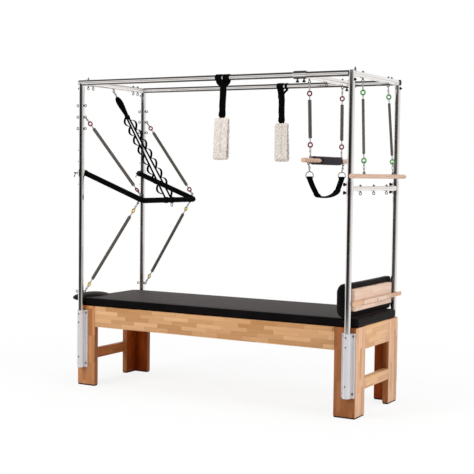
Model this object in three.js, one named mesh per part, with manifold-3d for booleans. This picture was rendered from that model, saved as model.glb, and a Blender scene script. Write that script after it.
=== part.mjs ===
// Pilates trapeze table: a wooden table with a padded mat, four steel uprights and a top
// frame of steel tube that carries a push-through bar, a sliding trapeze, a roll-down bar,
// padded ankle loops, a lower cross bar, a padded backrest and a loose head cushion.
// Millimetres. X runs along the table, Y from its front side to its back, Z up.
import * as THREE from 'three';
import { mergeVertices } from 'three/addons/utils/BufferGeometryUtils.js';
import Module from 'manifold-3d';

const wasm = await Module();
wasm.setup();

// Driving sizes.
const fit = { gap: 0.3, overrun: 6 };
const table = { length: 2110, width: 690, top: 559 };
const board = { thick: 40 };
const apron = { depth: 143 };
const leg = { sideWidth: 145, endWidth: 150 };
const brace = { bottom: 167, height: 68 };
const foot = { thick: 8, inset: 3 };
const deck = { thick: 18 };
const mat = { endInset: 10, sideInset: 20, thick: 53, crown: 3, edge: 15, corner: 42 };
const tube = { radius: 19, wall: 2.5, sides: 14 };
const uprights = { endInset: 46, sideOffset: 29, railHeight: 2100, bottom: 140 };
const bracket = { bottom: 131, below: 31, width: 86, plate: 8, sleeve: 24, rib: 5 };
const eye = { ring: 8, wire: 2.6, reach: 14, shankSides: 5 };
const upperEyes = { drop: 156, pitch: 78.5, count: 3 };
const lowEyes = { rise: 100 };
const pivot = { drop: 618 };
const leftRailEyes = { nearGap: 74, farGap: 130 };
const pushBar = {
  reach: 484, fall: 181, inset: 43, tubeRadius: 12.5, foamRadius: 18.5, sides: 10, bend: 28, hookAt: 30,
  foamStart: 40, lugRadius: 15, lugWidth: 26, pinRadius: 6, pinSides: 16, pinHead: 10, pinHeadThick: 5,
};
const collar = { outer: 23.5, height: 50, bossRadius: 9, bossLength: 14 };
const pullPin = { shank: 3.2, depth: 21, neck: 5, length: 16, crossRadius: 4.5, crossHalf: 17 };
const spring = { coilRadius: 9.5, wire: 1.6, curls: 6, steps: 8, sides: 5, lead: 9 };
const link = {
  half: 24, halfWidth: 12, wire: 2.6, snapHalf: 19, snapHalfWidth: 7.5, cornerShare: 0.5, sides: 4,
};
const barEye = { ring: 7, reach: 6, foamReach: 10.5 };
const rollSpring = { coilRadius: 7 };
const strap = {
  width: 25, thick: 4, slack: 1.2, splitReach: 119, splitDrop: 207, leftY: -42, rightY: 31, topY: -6,
};
const strapLoops = { count: 5, bulge: 14 };
const slide = { fromPost: 341, collarLength: 89, collarOuter: 26, knobOffset: 22.5, eyeY: 251 };
const knob = { stem: 4, neck: 5, rim: 11, length: 20, depth: 5, sides: 8 };
const trapeze = {
  drop: 520, radius: 15, halfLength: 345, shift: 19, eyeY: 237, gripHalf: 215, gripThick: 12,
};
const sling = {
  eyeY: 264, ringY: 247, width: 42, thick: 8, snapHalf: 22, ringHalf: 20, ringHalfWidth: 27,
  leftY: -121, leftDrop: 226, bottomDrop: 236, rightY: 169, rightDrop: 202,
};
const roll = { drop: 616, radius: 14, halfLength: 441, lean: 15, eyeTopY: 208, eyeY: 240 };
const lowBar = {
  drop: 693, radius: 16.5, collarOuter: 21.5, collarHeight: 84, knobOffset: 25, knobDepth: 2, eyeY: 214,
};
const ankle = {
  frontX: 118, backX: 150, wrapWidth: 92, wrapThick: 4, width: 52, thick: 4, strapDrop: 258,
  fleeceWidth: 126, fleeceThick: 13, fleeceDepth: 62, fleeceHeight: 266,
};
const backrest = {
  postGap: 1, depth: 98, endGap: 5, sink: 0.2, height: 215, edge: 38, corner: 40, crown: 16, drawn: 4,
};
const backBoard = { thick: 39, endInset: 44, rise: 46, height: 133 };
const backBar = { rise: 96, height: 26, thick: 15, beyondPost: 28, shift: 36 };
const keeper = { endInset: 135, height: 34, wall: 4 };
const headCushion = { beyondTable: 13, y: -170, rise: 45, halfX: 105, halfY: 175, halfZ: 33 };

// Places worked out from the driving sizes.
const half = { x: table.length / 2, y: table.width / 2 };
const corner = { x: half.x - uprights.endInset, y: half.y + uprights.sideOffset };
const railZ = uprights.railHeight;
const topPointZ = railZ + tube.radius;
const matBottom = table.top + fit.gap;
const bracketTop = table.top - bracket.below;
const pivotZ = railZ - pivot.drop;
const barX = pushBar.reach - corner.x;
const barY = corner.y - pushBar.inset;
const barZ = pivotZ - pushBar.fall;
const slideX = corner.x - slide.fromPost;
const trapezeZ = railZ - trapeze.drop;
const rollX = corner.x + tube.radius + roll.lean;
const rollZ = railZ - roll.drop;
const lowBarZ = railZ - lowBar.drop;
const backX = corner.x - tube.radius - backrest.postGap;
const backZ = matBottom + mat.thick - backrest.sink;
const backHalf = corner.y - tube.radius - backrest.endGap;
const backBarX = backX + backBoard.thick + keeper.wall / 2 + backBar.thick / 2;
const backBarZ = backZ + backBar.rise;
const cushionX = -half.x - headCushion.beyondTable;
const reach = { left: headCushion.halfX - cushionX, right: rollX + roll.radius };

const machine = new THREE.Group();
machine.position.x = (reach.left - reach.right) / 2;

// Finishes.
const finishes = {
  wood: { color: 0xc8935f, roughness: 0.5, metalness: 0 },
  paleWood: { color: 0xe3c3a0, roughness: 0.5, metalness: 0 },
  dowel: { color: 0xd6b48c, roughness: 0.55, metalness: 0 },
  vinyl: { color: 0x2c2a2b, roughness: 0.45, metalness: 0 },
  rubber: { color: 0x17171a, roughness: 0.85, metalness: 0 },
  foam: { color: 0x141414, roughness: 0.9, metalness: 0 },
  webbing: { color: 0x161618, roughness: 0.85, metalness: 0 },
  chrome: { color: 0xd8dadc, roughness: 0.12, metalness: 1 },
  aluminium: { color: 0xc3c5c9, roughness: 0.38, metalness: 1 },
  springSteel: { color: 0x6f6a66, roughness: 0.35, metalness: 1 },
  blackPlastic: { color: 0x121212, roughness: 0.5, metalness: 0 },
  fleece: { color: 0xdcd4cd, roughness: 1, metalness: 0 },
};

const vec = (x, y, z) => new THREE.Vector3(x, y, z);
const axes = { x: vec(1, 0, 0), y: vec(0, 1, 0), z: vec(0, 0, 1) };

// Turns a closed geometry into a solid that can be joined and cut.
function toSolid(geometry) {
  if (!(geometry instanceof THREE.BufferGeometry)) return geometry;
  const bare = geometry.index ? geometry.toNonIndexed() : geometry.clone();
  bare.deleteAttribute('normal');
  bare.deleteAttribute('uv');
  const merged = mergeVertices(bare, fit.gap / 300);
  return new wasm.Manifold(new wasm.Mesh({
    numProp: 3,
    vertProperties: new Float32Array(merged.attributes.position.array),
    triVerts: new Uint32Array(merged.index.array),
  }));
}

const join = (...pieces) => pieces.map(toSolid).reduce((sum, piece) => sum.add(piece));
const cut = (piece, ...tools) => tools.map(toSolid).reduce((rest, tool) => rest.subtract(tool), toSolid(piece));

function toGeometry(solid) {
  const mesh = solid.getMesh();
  const geometry = new THREE.BufferGeometry();
  geometry.setAttribute('position', new THREE.BufferAttribute(mesh.vertProperties, 3));
  geometry.setIndex(new THREE.BufferAttribute(mesh.triVerts, 1));
  geometry.computeVertexNormals();
  return geometry;
}

function add(name, shape, finish) {
  const geometry = shape instanceof THREE.BufferGeometry ? shape : toGeometry(shape);
  const mesh = new THREE.Mesh(geometry, new THREE.MeshStandardMaterial(finishes[finish]));
  mesh.name = name;
  machine.add(mesh);
  return mesh;
}

// A block between two corners.
function block(low, high) {
  const size = high.clone().sub(low);
  const geometry = new THREE.BoxGeometry(size.x, size.y, size.z);
  const middle = low.clone().add(high).multiplyScalar(0.5);
  return geometry.translate(middle.x, middle.y, middle.z);
}

// Moves a geometry made along +Z from the origin so that it runs from one point towards another.
function aim(geometry, from, towards) {
  const direction = towards.clone().sub(from).normalize();
  const turn = new THREE.Quaternion().setFromUnitVectors(axes.z, direction);
  return geometry.applyQuaternion(turn).translate(from.x, from.y, from.z);
}

// A round bar between two points.
function rod(from, to, radius, sides = tube.sides) {
  const length = from.distanceTo(to);
  const geometry = new THREE.CylinderGeometry(radius, radius, length, sides);
  geometry.rotateX(Math.PI / 2).translate(0, 0, length / 2);
  return aim(geometry, from, to);
}

// A round tube, open at both ends, between two points.
function pipe(from, to, outer, inner, sides = tube.sides) {
  const length = from.distanceTo(to);
  const profile = [
    new THREE.Vector2(inner, 0), new THREE.Vector2(outer, 0),
    new THREE.Vector2(outer, length), new THREE.Vector2(inner, length), new THREE.Vector2(inner, 0),
  ];
  const geometry = new THREE.LatheGeometry(profile, sides).rotateX(Math.PI / 2);
  return aim(geometry, from, to);
}

// A turned piece whose outline, as pairs of radius and height, runs from a point along an axis.
function turned(from, towards, outline, sides = knob.sides) {
  const points = outline.map(([radius, height]) => new THREE.Vector2(radius, height));
  const geometry = new THREE.LatheGeometry(points, sides).rotateX(Math.PI / 2);
  return aim(geometry, from, towards);
}

// A closed wire through points in one plane whose face looks along `normal`.
function closedWire(points, normal, radius, sides) {
  const count = points.length;
  const positions = points.flatMap((p, k) => {
    const along = points[(k + 1) % count].clone().sub(points[(k + count - 1) % count]).normalize();
    const out = along.cross(normal);
    return Array.from({ length: sides }, (_, s) => {
      const angle = s / sides * 2 * Math.PI;
      return p.clone()
        .addScaledVector(out, radius * Math.cos(angle))
        .addScaledVector(normal, radius * Math.sin(angle))
        .toArray();
    }).flat();
  });
  const index = [];
  for (let k = 0; k < count; k += 1) {
    for (let s = 0; s < sides; s += 1) {
      const a = k * sides + s;
      const b = k * sides + ((s + 1) % sides);
      const c = ((k + 1) % count) * sides + s;
      const d = ((k + 1) % count) * sides + ((s + 1) % sides);
      index.push(a, c, b, b, c, d);
    }
  }
  const geometry = new THREE.BufferGeometry();
  geometry.setAttribute('position', new THREE.Float32BufferAttribute(positions, 3));
  geometry.setIndex(index);
  return geometry;
}

// A round ring of wire.
function ringOf(centre, start, normal, radius, thick, steps = 8, sides = 4) {
  const side = normal.clone().cross(start);
  const points = Array.from({ length: steps }, (_, k) => {
    const angle = k / steps * 2 * Math.PI;
    return centre.clone()
      .addScaledVector(start, radius * Math.cos(angle))
      .addScaledVector(side, radius * Math.sin(angle));
  });
  return closedWire(points, normal, thick, sides);
}

// A long link of wire with cut corners. Its long way follows `along`.
function longLink(centre, along, normal, halfLong, halfWide) {
  const side = normal.clone().cross(along);
  const inset = halfWide * link.cornerShare;
  const outline = [
    [halfLong, -halfWide + inset], [halfLong, halfWide - inset], [halfLong - inset, halfWide],
    [-halfLong + inset, halfWide], [-halfLong, halfWide - inset], [-halfLong, -halfWide + inset],
    [-halfLong + inset, -halfWide], [halfLong - inset, -halfWide],
  ];
  const points = outline.map(([a, b]) => centre.clone().addScaledVector(along, a).addScaledVector(side, b));
  return closedWire(points, normal, link.wire, link.sides);
}

// A skin through rings of equally many points, closed by a fan at each end.
function loft(rings) {
  const count = rings[0].length;
  const positions = rings.flat().flatMap((p) => [p.x, p.y, p.z]);
  const index = [];
  for (let r = 0; r + 1 < rings.length; r += 1) {
    for (let k = 0; k < count; k += 1) {
      const a = r * count + k;
      const b = r * count + ((k + 1) % count);
      index.push(a, b, b + count, a, b + count, a + count);
    }
  }
  const middleOf = (ring) => ring.reduce((sum, p) => sum.add(p), vec(0, 0, 0)).divideScalar(count);
  const ends = [middleOf(rings[0]), middleOf(rings.at(-1))];
  ends.forEach((p) => positions.push(p.x, p.y, p.z));
  const base = rings.length * count;
  const last = (rings.length - 1) * count;
  for (let k = 0; k < count; k += 1) {
    const next = (k + 1) % count;
    index.push(base, next, k);
    index.push(base + 1, last + k, last + next);
  }
  const geometry = new THREE.BufferGeometry();
  geometry.setAttribute('position', new THREE.Float32BufferAttribute(positions, 3));
  geometry.setIndex(index);
  return geometry;
}

// The outline of a rectangle with round corners, with points along its sides as well.
function roundOutline(halfX, halfY, radius, cornerSteps, sideSteps) {
  const points = [];
  const quarters = [[1, 1, 0], [-1, 1, 1], [-1, -1, 2], [1, -1, 3]];
  quarters.forEach(([sx, sy, quarter], k) => {
    for (let s = 0; s <= cornerSteps; s += 1) {
      const angle = (quarter + s / cornerSteps) * Math.PI / 2;
      const x = sx * (halfX - radius) + radius * Math.cos(angle);
      const y = sy * (halfY - radius) + radius * Math.sin(angle);
      points.push(new THREE.Vector2(x, y));
    }
    const [nx, ny, nextQuarter] = quarters[(k + 1) % 4];
    const from = points.at(-1);
    const start = nextQuarter * Math.PI / 2;
    const to = new THREE.Vector2(
      nx * (halfX - radius) + radius * Math.cos(start),
      ny * (halfY - radius) + radius * Math.sin(start),
    );
    for (let s = 1; s < sideSteps; s += 1) points.push(from.clone().lerp(to, s / sideSteps));
  });
  return points;
}

// A cushion lying in the XY plane from z = 0 up: round edges, a crowned top and sides
// that draw in halfway between the corners.
function cushion({ halfX, halfY, thick, crown, edge, corner: radius, drawn = 0, sideSteps = 4 }) {
  const levels = [
    { inset: edge, z: 0 },
    { inset: edge * 0.3, z: edge * 0.3 },
    { inset: 0, z: edge },
    { inset: 0, z: thick - edge },
    { inset: edge * 0.3, z: thick - edge * 0.3 },
    { inset: edge, z: thick },
    { inset: Math.min(halfX, halfY) * 0.5, z: thick + crown * 0.7 },
  ];
  const rings = levels.map(({ inset, z }) => {
    const turn = Math.max(radius - inset, radius / 4);
    const outline = roundOutline(halfX - inset, halfY - inset, turn, 3, sideSteps);
    return outline.map((p) => {
      const alongX = Math.abs(p.x) / (halfX - inset);
      const alongY = Math.abs(p.y) / (halfY - inset);
      const pullX = drawn * (1 - alongY * alongY) * Math.sign(p.x) * (alongX > 0.999 ? 1 : 0);
      const pullY = drawn * (1 - alongX * alongX) * Math.sign(p.y) * (alongY > 0.999 ? 1 : 0);
      return vec(p.x - pullX, p.y - pullY, z);
    });
  });
  const peak = rings.at(-1).map((p) => vec(p.x * 0.4, p.y * 0.4, thick + crown));
  return loft([...rings, peak]);
}

// A flat band that follows a path of points in one plane, with its width across that plane.
function band(points, across, width, thick) {
  const side = across.clone().normalize();
  const rings = points.map((p, k) => {
    const before = points[Math.max(k - 1, 0)];
    const after = points[Math.min(k + 1, points.length - 1)];
    const out = after.clone().sub(before).normalize().cross(side).normalize();
    const place = (w, t) => p.clone().addScaledVector(side, w * width / 2).addScaledVector(out, t * thick / 2);
    return [place(-1, -1), place(1, -1), place(1, 1), place(-1, 1)];
  });
  return loft(rings);
}

// A round wire along points on a smooth path, closed at both ends.
function wire(points, radius, sides) {
  let normal = null;
  const rings = points.map((p, k) => {
    const before = points[Math.max(k - 1, 0)];
    const after = points[Math.min(k + 1, points.length - 1)];
    const along = after.clone().sub(before).normalize();
    if (!normal) {
      const guide = Math.abs(along.z) < 0.9 ? axes.z : axes.x;
      normal = guide.clone().cross(along).normalize();
    }
    normal = normal.clone().addScaledVector(along, -normal.dot(along)).normalize();
    const other = along.clone().cross(normal);
    return Array.from({ length: sides }, (_, s) => {
      const angle = s / sides * 2 * Math.PI;
      return p.clone()
        .addScaledVector(normal, radius * Math.cos(angle))
        .addScaledVector(other, radius * Math.sin(angle));
    });
  });
  return loft(rings);
}

// An eye on a shank that stands out from a bar. A thing that hangs in it swings about Y.
function eyeBolt(onAxis, out, from, centreAt, ring = eye.ring) {
  const centre = onAxis.clone().addScaledVector(out, centreAt);
  const shankStart = onAxis.clone().addScaledVector(out, from);
  const shankEnd = onAxis.clone().addScaledVector(out, centreAt - ring);
  return join(ringOf(centre, out, axes.y, ring, eye.wire), rod(shankStart, shankEnd, eye.wire, eye.shankSides));
}

const eyeCentre = tube.radius + eye.reach;
const inWall = tube.radius - tube.wall * 0.9;

// The point of an eye's wire that bears a pull towards a place.
function bearing(centre, towards, ring = eye.ring) {
  return centre.clone().addScaledVector(towards.clone().sub(centre).normalize(), ring);
}

const springGaps = [];

// A coil spring between two bearing points: a ring at its top, and a ring and a snap at its foot.
function coilSpring(top, bottom, coilRadius) {
  const along = bottom.clone().sub(top).normalize();
  const normal = along.clone().cross(axes.y).normalize();
  const at = (distance) => top.clone().addScaledVector(along, distance);
  const seat = eye.wire + link.wire + fit.gap;
  const topRing = longLink(at(link.half - seat), along, normal, link.half, link.halfWidth);
  const snapCentre = top.distanceTo(bottom) + seat - link.snapHalf;
  const snap = longLink(at(snapCentre), along, normal, link.snapHalf, link.snapHalfWidth);
  const lowRingCentre = snapCentre - link.snapHalf - link.half;
  const lowRing = longLink(at(lowRingCentre), along, normal, link.half, link.halfWidth);
  const start = 2 * link.half - seat;
  const end = lowRingCentre - link.half;
  const coilStart = start + spring.lead;
  const coilEnd = end - spring.lead;
  const other = along.clone().cross(normal);
  const steps = spring.curls * spring.steps;
  const path = [at(start), at(start + spring.lead / 2)];
  for (let s = 0; s <= steps; s += 1) {
    const share = s / steps;
    const fade = Math.min(1, s / (spring.steps / 2), (steps - s) / (spring.steps / 2));
    const angle = share * spring.curls * 2 * Math.PI;
    path.push(at(coilStart + share * (coilEnd - coilStart))
      .addScaledVector(normal, coilRadius * fade * Math.cos(angle))
      .addScaledVector(other, coilRadius * fade * Math.sin(angle)));
  }
  path.push(at(end - spring.lead / 2), at(end));
  springGaps.push(leastGap(path, spring.wire));
  return join(topRing, wire(path, spring.wire, spring.sides), lowRing, snap);
}

// The least distance between the skins of stretches of a wire that are half a curl apart or more.
function leastGap(path, radius) {
  let least = Infinity;
  for (let a = 0; a < path.length; a += 1) {
    for (let b = a + spring.steps / 2; b < path.length; b += 1) {
      least = Math.min(least, path[a].distanceTo(path[b]) - 2 * radius);
    }
  }
  return least;
}

// The wooden table.
function addTable() {
  const inner = { x: half.x - board.thick, y: half.y - board.thick };
  const apronBottom = table.top - apron.depth;
  const sideReach = half.x - leg.sideWidth - fit.gap;
  const endReach = half.y - leg.endWidth - fit.gap;
  for (const [side, sy] of [['front', -1], ['back', 1]]) {
    const ys = [sy * half.y, sy * inner.y].sort((a, b) => a - b);
    add(`apron_${side}`, block(vec(-sideReach, ys[0], apronBottom), vec(sideReach, ys[1], table.top)), 'wood');
  }
  for (const [end, sx] of [['left', -1], ['right', 1]]) {
    const xs = [sx * half.x, sx * inner.x].sort((a, b) => a - b);
    const rail = block(vec(xs[0], -endReach, apronBottom), vec(xs[1], endReach, table.top));
    add(`end_rail_${end}`, rail, 'wood');
    const braceTop = brace.bottom + brace.height;
    add(`end_brace_${end}`, block(vec(xs[0], -endReach, brace.bottom), vec(xs[1], endReach, braceTop)), 'wood');
  }
  for (const [name, sx, sy] of corners()) {
    add(`leg_${name}`, legShape(sx, sy, foot.thick + fit.gap, table.top, 0), 'wood');
    add(`foot_pad_${name}`, legShape(sx, sy, 0, foot.thick, foot.inset), 'rubber');
  }
  const deckHalf = { x: inner.x - fit.gap, y: inner.y - fit.gap };
  const deckBottom = table.top - deck.thick;
  const low = vec(-deckHalf.x, -deckHalf.y, deckBottom);
  add('deck_board', block(low, vec(deckHalf.x, deckHalf.y, table.top)), 'paleWood');
}

function corners() {
  return [['front_left', -1, -1], ['front_right', 1, -1], ['back_left', -1, 1], ['back_right', 1, 1]];
}

// An L-shaped corner of two boards, drawn in all round by an inset.
function legShape(sx, sy, bottom, top, inset) {
  const outerX = half.x - inset;
  const outerY = half.y - inset;
  const sideX = half.x - leg.sideWidth + inset;
  const endY = half.y - leg.endWidth + inset;
  const innerX = half.x - board.thick + inset;
  const innerY = half.y - board.thick + inset;
  const outline = [
    [outerX, outerY], [sideX, outerY], [sideX, innerY], [innerX, innerY], [innerX, endY], [outerX, endY],
  ];
  const shape = new THREE.Shape(outline.map(([x, y]) => new THREE.Vector2(sx * x, sy * y)));
  const geometry = new THREE.ExtrudeGeometry(shape, { depth: top - bottom, bevelEnabled: false });
  return geometry.translate(0, 0, bottom);
}

function matShape(grow) {
  const geometry = cushion({
    halfX: half.x - mat.endInset + grow,
    halfY: half.y - mat.sideInset + grow,
    thick: mat.thick + grow,
    crown: mat.crown,
    edge: mat.edge,
    corner: mat.corner,
    sideSteps: 3,
  });
  return geometry.translate(0, 0, matBottom);
}

// The extruded bracket that holds an upright against the table's side: a flat plate, a sleeve
// round the tube and two ribs.
function bracketShape(sx, sy) {
  const x = sx * corner.x;
  const y = sy * corner.y;
  const wallY = sy * (half.y + fit.gap);
  const plateY = sy * (half.y + fit.gap + bracket.plate);
  const ys = [wallY, plateY].sort((a, b) => a - b);
  const halfWidth = bracket.width / 2;
  const plate = block(vec(x - halfWidth, ys[0], bracket.bottom), vec(x + halfWidth, ys[1], bracketTop));
  const sleeve = rod(vec(x, y, bracket.bottom), vec(x, y, bracketTop), bracket.sleeve);
  const fillYs = [wallY, y].sort((a, b) => a - b);
  const fillHalf = bracket.sleeve - bracket.rib / 2;
  const fill = block(vec(x - fillHalf, fillYs[0], bracket.bottom), vec(x + fillHalf, fillYs[1], bracketTop));
  const ribs = [-1, 1].map((side) => {
    const ribX = x + side * (halfWidth - bracket.rib / 2);
    const from = plateY - sy * bracket.plate / 2;
    const ribYs = [from, plateY + sy * bracket.rib / 2].sort((a, b) => a - b);
    return block(
      vec(ribX - bracket.rib / 2, ribYs[0], bracket.bottom),
      vec(ribX + bracket.rib / 2, ribYs[1], bracketTop),
    );
  });
  const bore = rod(
    vec(x, y, bracket.bottom - fit.overrun),
    vec(x, y, bracketTop + fit.overrun),
    tube.radius + fit.gap,
  );
  return cut(join(plate, sleeve, fill, ...ribs), bore);
}

const railCut = (from, to) => rod(from, to, tube.radius + fit.gap);

// The steel posts. All but the front right one end under a long rail that lies over them.
function addUprights() {
  for (const [name, sx, sy] of corners()) {
    const x = sx * corner.x;
    const y = sy * corner.y;
    const isFull = name === 'front_right';
    const top = isFull ? topPointZ : railZ;
    let post = toSolid(pipe(vec(x, y, uprights.bottom), vec(x, y, top), tube.radius, tube.radius - tube.wall));
    if (isFull) {
      post = join(post, rod(vec(x, y, top - tube.wall), vec(x, y, top), tube.radius - tube.wall / 2));
    } else {
      post = cut(post, railCut(vec(x - tube.radius * 2, y, railZ), vec(x + tube.radius * 2, y, railZ)));
    }
    if (sx < 0) post = join(cut(post, pinBore(x, y)), ...leftPostFittings(x, y));
    add(`upright_${name}`, post, 'chrome');
    add(`bracket_${name}`, bracketShape(sx, sy), 'aluminium');
  }
}

// The hole that a pull pin runs in, from the middle of a left post outwards.
function pinBore(x, y) {
  const from = vec(x, y, pivotZ);
  return rod(from, from.clone().addScaledVector(axes.x, -3 * tube.radius), pullPin.shank + fit.gap, 8);
}

function eyeHeights() {
  const first = railZ - upperEyes.drop;
  const upper = Array.from({ length: upperEyes.count }, (_, k) => first - k * upperEyes.pitch);
  return { upper, low: table.top + lowEyes.rise };
}

function leftPostFittings(x, y) {
  const outward = axes.x.clone().negate();
  const { upper, low } = eyeHeights();
  return [...upper, low].flatMap((z) => [
    eyeBolt(vec(x, y, z), axes.x, inWall, eyeCentre),
    eyeBolt(vec(x, y, z), outward, inWall, eyeCentre),
  ]);
}

// The four rails of the top frame, all at one height, coped to the tubes that they meet.
function addTopRails() {
  const inner = tube.radius - tube.wall;
  const past = corner.x + tube.radius;
  const frontPost = vec(corner.x, -corner.y, railZ);
  const postCut = railCut(
    frontPost.clone().addScaledVector(axes.z, -2 * tube.radius),
    frontPost.clone().addScaledVector(axes.z, 2 * tube.radius),
  );
  const frontRail = pipe(vec(-past, -corner.y, railZ), frontPost, tube.radius, inner);
  add('top_rail_front', cut(frontRail, postCut), 'chrome');
  const backRail = pipe(vec(-past, corner.y, railZ), vec(past, corner.y, railZ), tube.radius, inner);
  add('top_rail_back', backRail, 'chrome');
  const longCut = (sy) => railCut(
    vec(-past - fit.overrun, sy * corner.y, railZ),
    vec(past + fit.overrun, sy * corner.y, railZ),
  );
  const down = axes.z.clone().negate();
  const postTop = (x, y) => railCut(vec(x, y, railZ - 2 * tube.radius), vec(x, y, railZ));
  const leftPipe = pipe(vec(-corner.x, -corner.y, railZ), vec(-corner.x, corner.y, railZ), tube.radius, inner);
  const leftTops = [postTop(-corner.x, -corner.y), postTop(-corner.x, corner.y)];
  const nearEye = corner.y - leftRailEyes.nearGap;
  const farEye = corner.y - leftRailEyes.farGap;
  const leftEyes = [-nearEye, -farEye, 0, farEye, nearEye];
  const leftFittings = leftEyes.map((y) => eyeBolt(vec(-corner.x, y, railZ), down, inWall, eyeCentre));
  add('top_rail_left', join(cut(leftPipe, longCut(-1), longCut(1), ...leftTops), ...leftFittings), 'chrome');
  const rightPipe = pipe(vec(corner.x, -corner.y, railZ), vec(corner.x, corner.y, railZ), tube.radius, inner);
  const rightCuts = [
    postCut, railCut(vec(0, -corner.y, railZ), frontPost), longCut(1), postTop(corner.x, corner.y),
  ];
  const rightFittings = [-roll.eyeTopY, roll.eyeTopY].map((y) => (
    eyeBolt(vec(corner.x, y, railZ), down, inWall, eyeCentre)
  ));
  add('top_rail_right', join(cut(rightPipe, ...rightCuts), ...rightFittings), 'chrome');
}

// The line of the push-through bar, from one pivot round its two corners to the other.
function pushPath(startAt) {
  const pinAt = (sy) => vec(-corner.x, sy * barY, pivotZ);
  const bend = (sy) => vec(barX, sy * barY, barZ);
  const armDirection = bend(-1).sub(pinAt(-1)).normalize();
  const path = new THREE.CurvePath();
  const start = pinAt(-1).addScaledVector(armDirection, startAt);
  const end = pinAt(1).addScaledVector(armDirection, startAt);
  const beforeFirst = bend(-1).addScaledVector(armDirection, -pushBar.bend);
  const afterFirst = bend(-1).addScaledVector(axes.y, pushBar.bend);
  const beforeSecond = bend(1).addScaledVector(axes.y, -pushBar.bend);
  const afterSecond = bend(1).addScaledVector(armDirection, -pushBar.bend);
  path.add(new THREE.LineCurve3(start, beforeFirst));
  path.add(new THREE.QuadraticBezierCurve3(beforeFirst, bend(-1), afterFirst));
  path.add(new THREE.LineCurve3(afterFirst, beforeSecond));
  path.add(new THREE.QuadraticBezierCurve3(beforeSecond, bend(1), afterSecond));
  path.add(new THREE.LineCurve3(afterSecond, end));
  const points = [start, beforeFirst];
  const bendShares = [0.3, 0.7];
  bendShares.forEach((share) => points.push(path.curves[1].getPoint(share)));
  points.push(afterFirst, beforeSecond);
  bendShares.forEach((share) => points.push(path.curves[3].getPoint(share)));
  points.push(afterSecond, end);
  return points;
}

// The two eyes of a bolt through the bar near a corner, each with the post eye that its spring
// runs to: one above the bar and one below it.
function barHook(sy, isUpper) {
  const bend = vec(barX, sy * barY, barZ);
  const arm = vec(-corner.x, sy * barY, pivotZ).sub(bend).normalize();
  const out = arm.clone().cross(axes.y).multiplyScalar(isUpper ? -1 : 1);
  const onBar = bend.addScaledVector(arm, pushBar.hookAt);
  const centreAt = pushBar.foamRadius + barEye.foamReach;
  const centre = onBar.clone().addScaledVector(out, centreAt);
  const { upper, low } = eyeHeights();
  const postHeight = isUpper ? upper[1] : low;
  const postEye = vec(-corner.x + eyeCentre, sy * corner.y, postHeight);
  return { onBar, out, centreAt, top: bearing(postEye, centre), foot: bearing(centre, postEye, barEye.ring) };
}

function addPushBar() {
  const hooks = [-1, 1].flatMap((sy) => [barHook(sy, true), barHook(sy, false)]);
  const hookEyes = hooks.map(({ onBar, out, centreAt }) => eyeBolt(onBar, out, 0, centreAt, barEye.ring));
  const lugs = [-1, 1].map((sy) => rod(
    vec(-corner.x, sy * (barY - pushBar.lugWidth / 2), pivotZ),
    vec(-corner.x, sy * (barY + pushBar.lugWidth / 2 - fit.gap), pivotZ),
    pushBar.lugRadius,
    12,
  ));
  const bores = [-1, 1].map((sy) => rod(
    vec(-corner.x, sy * (barY - pushBar.lugWidth), pivotZ),
    vec(-corner.x, sy * (barY + pushBar.lugWidth), pivotZ),
    pushBar.pinRadius + fit.gap,
    pushBar.pinSides,
  ));
  const steel = wire(pushPath(0), pushBar.tubeRadius, pushBar.sides);
  add('push_bar_tube', cut(join(steel, ...lugs, ...hookEyes), ...bores), 'chrome');
  const outer = wire(pushPath(pushBar.foamStart), pushBar.foamRadius, pushBar.sides);
  const inner = wire(pushPath(0), pushBar.tubeRadius + fit.gap, pushBar.sides);
  const slots = hooks.map(({ onBar, out, centreAt }) => rod(
    onBar,
    onBar.clone().addScaledVector(out, centreAt),
    eye.wire + fit.gap,
    eye.shankSides,
  ));
  add('push_bar_foam', cut(outer, inner, ...slots), 'foam');
  for (const [side, sy] of [['front', -1], ['back', 1]]) {
    addPivot(side, sy);
    const upper = barHook(sy, true);
    const lower = barHook(sy, false);
    add(`push_spring_upper_${side}`, coilSpring(upper.top, upper.foot, spring.coilRadius), 'springSteel');
    add(`push_spring_lower_${side}`, coilSpring(lower.top, lower.foot, spring.coilRadius), 'springSteel');
  }
}

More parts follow.
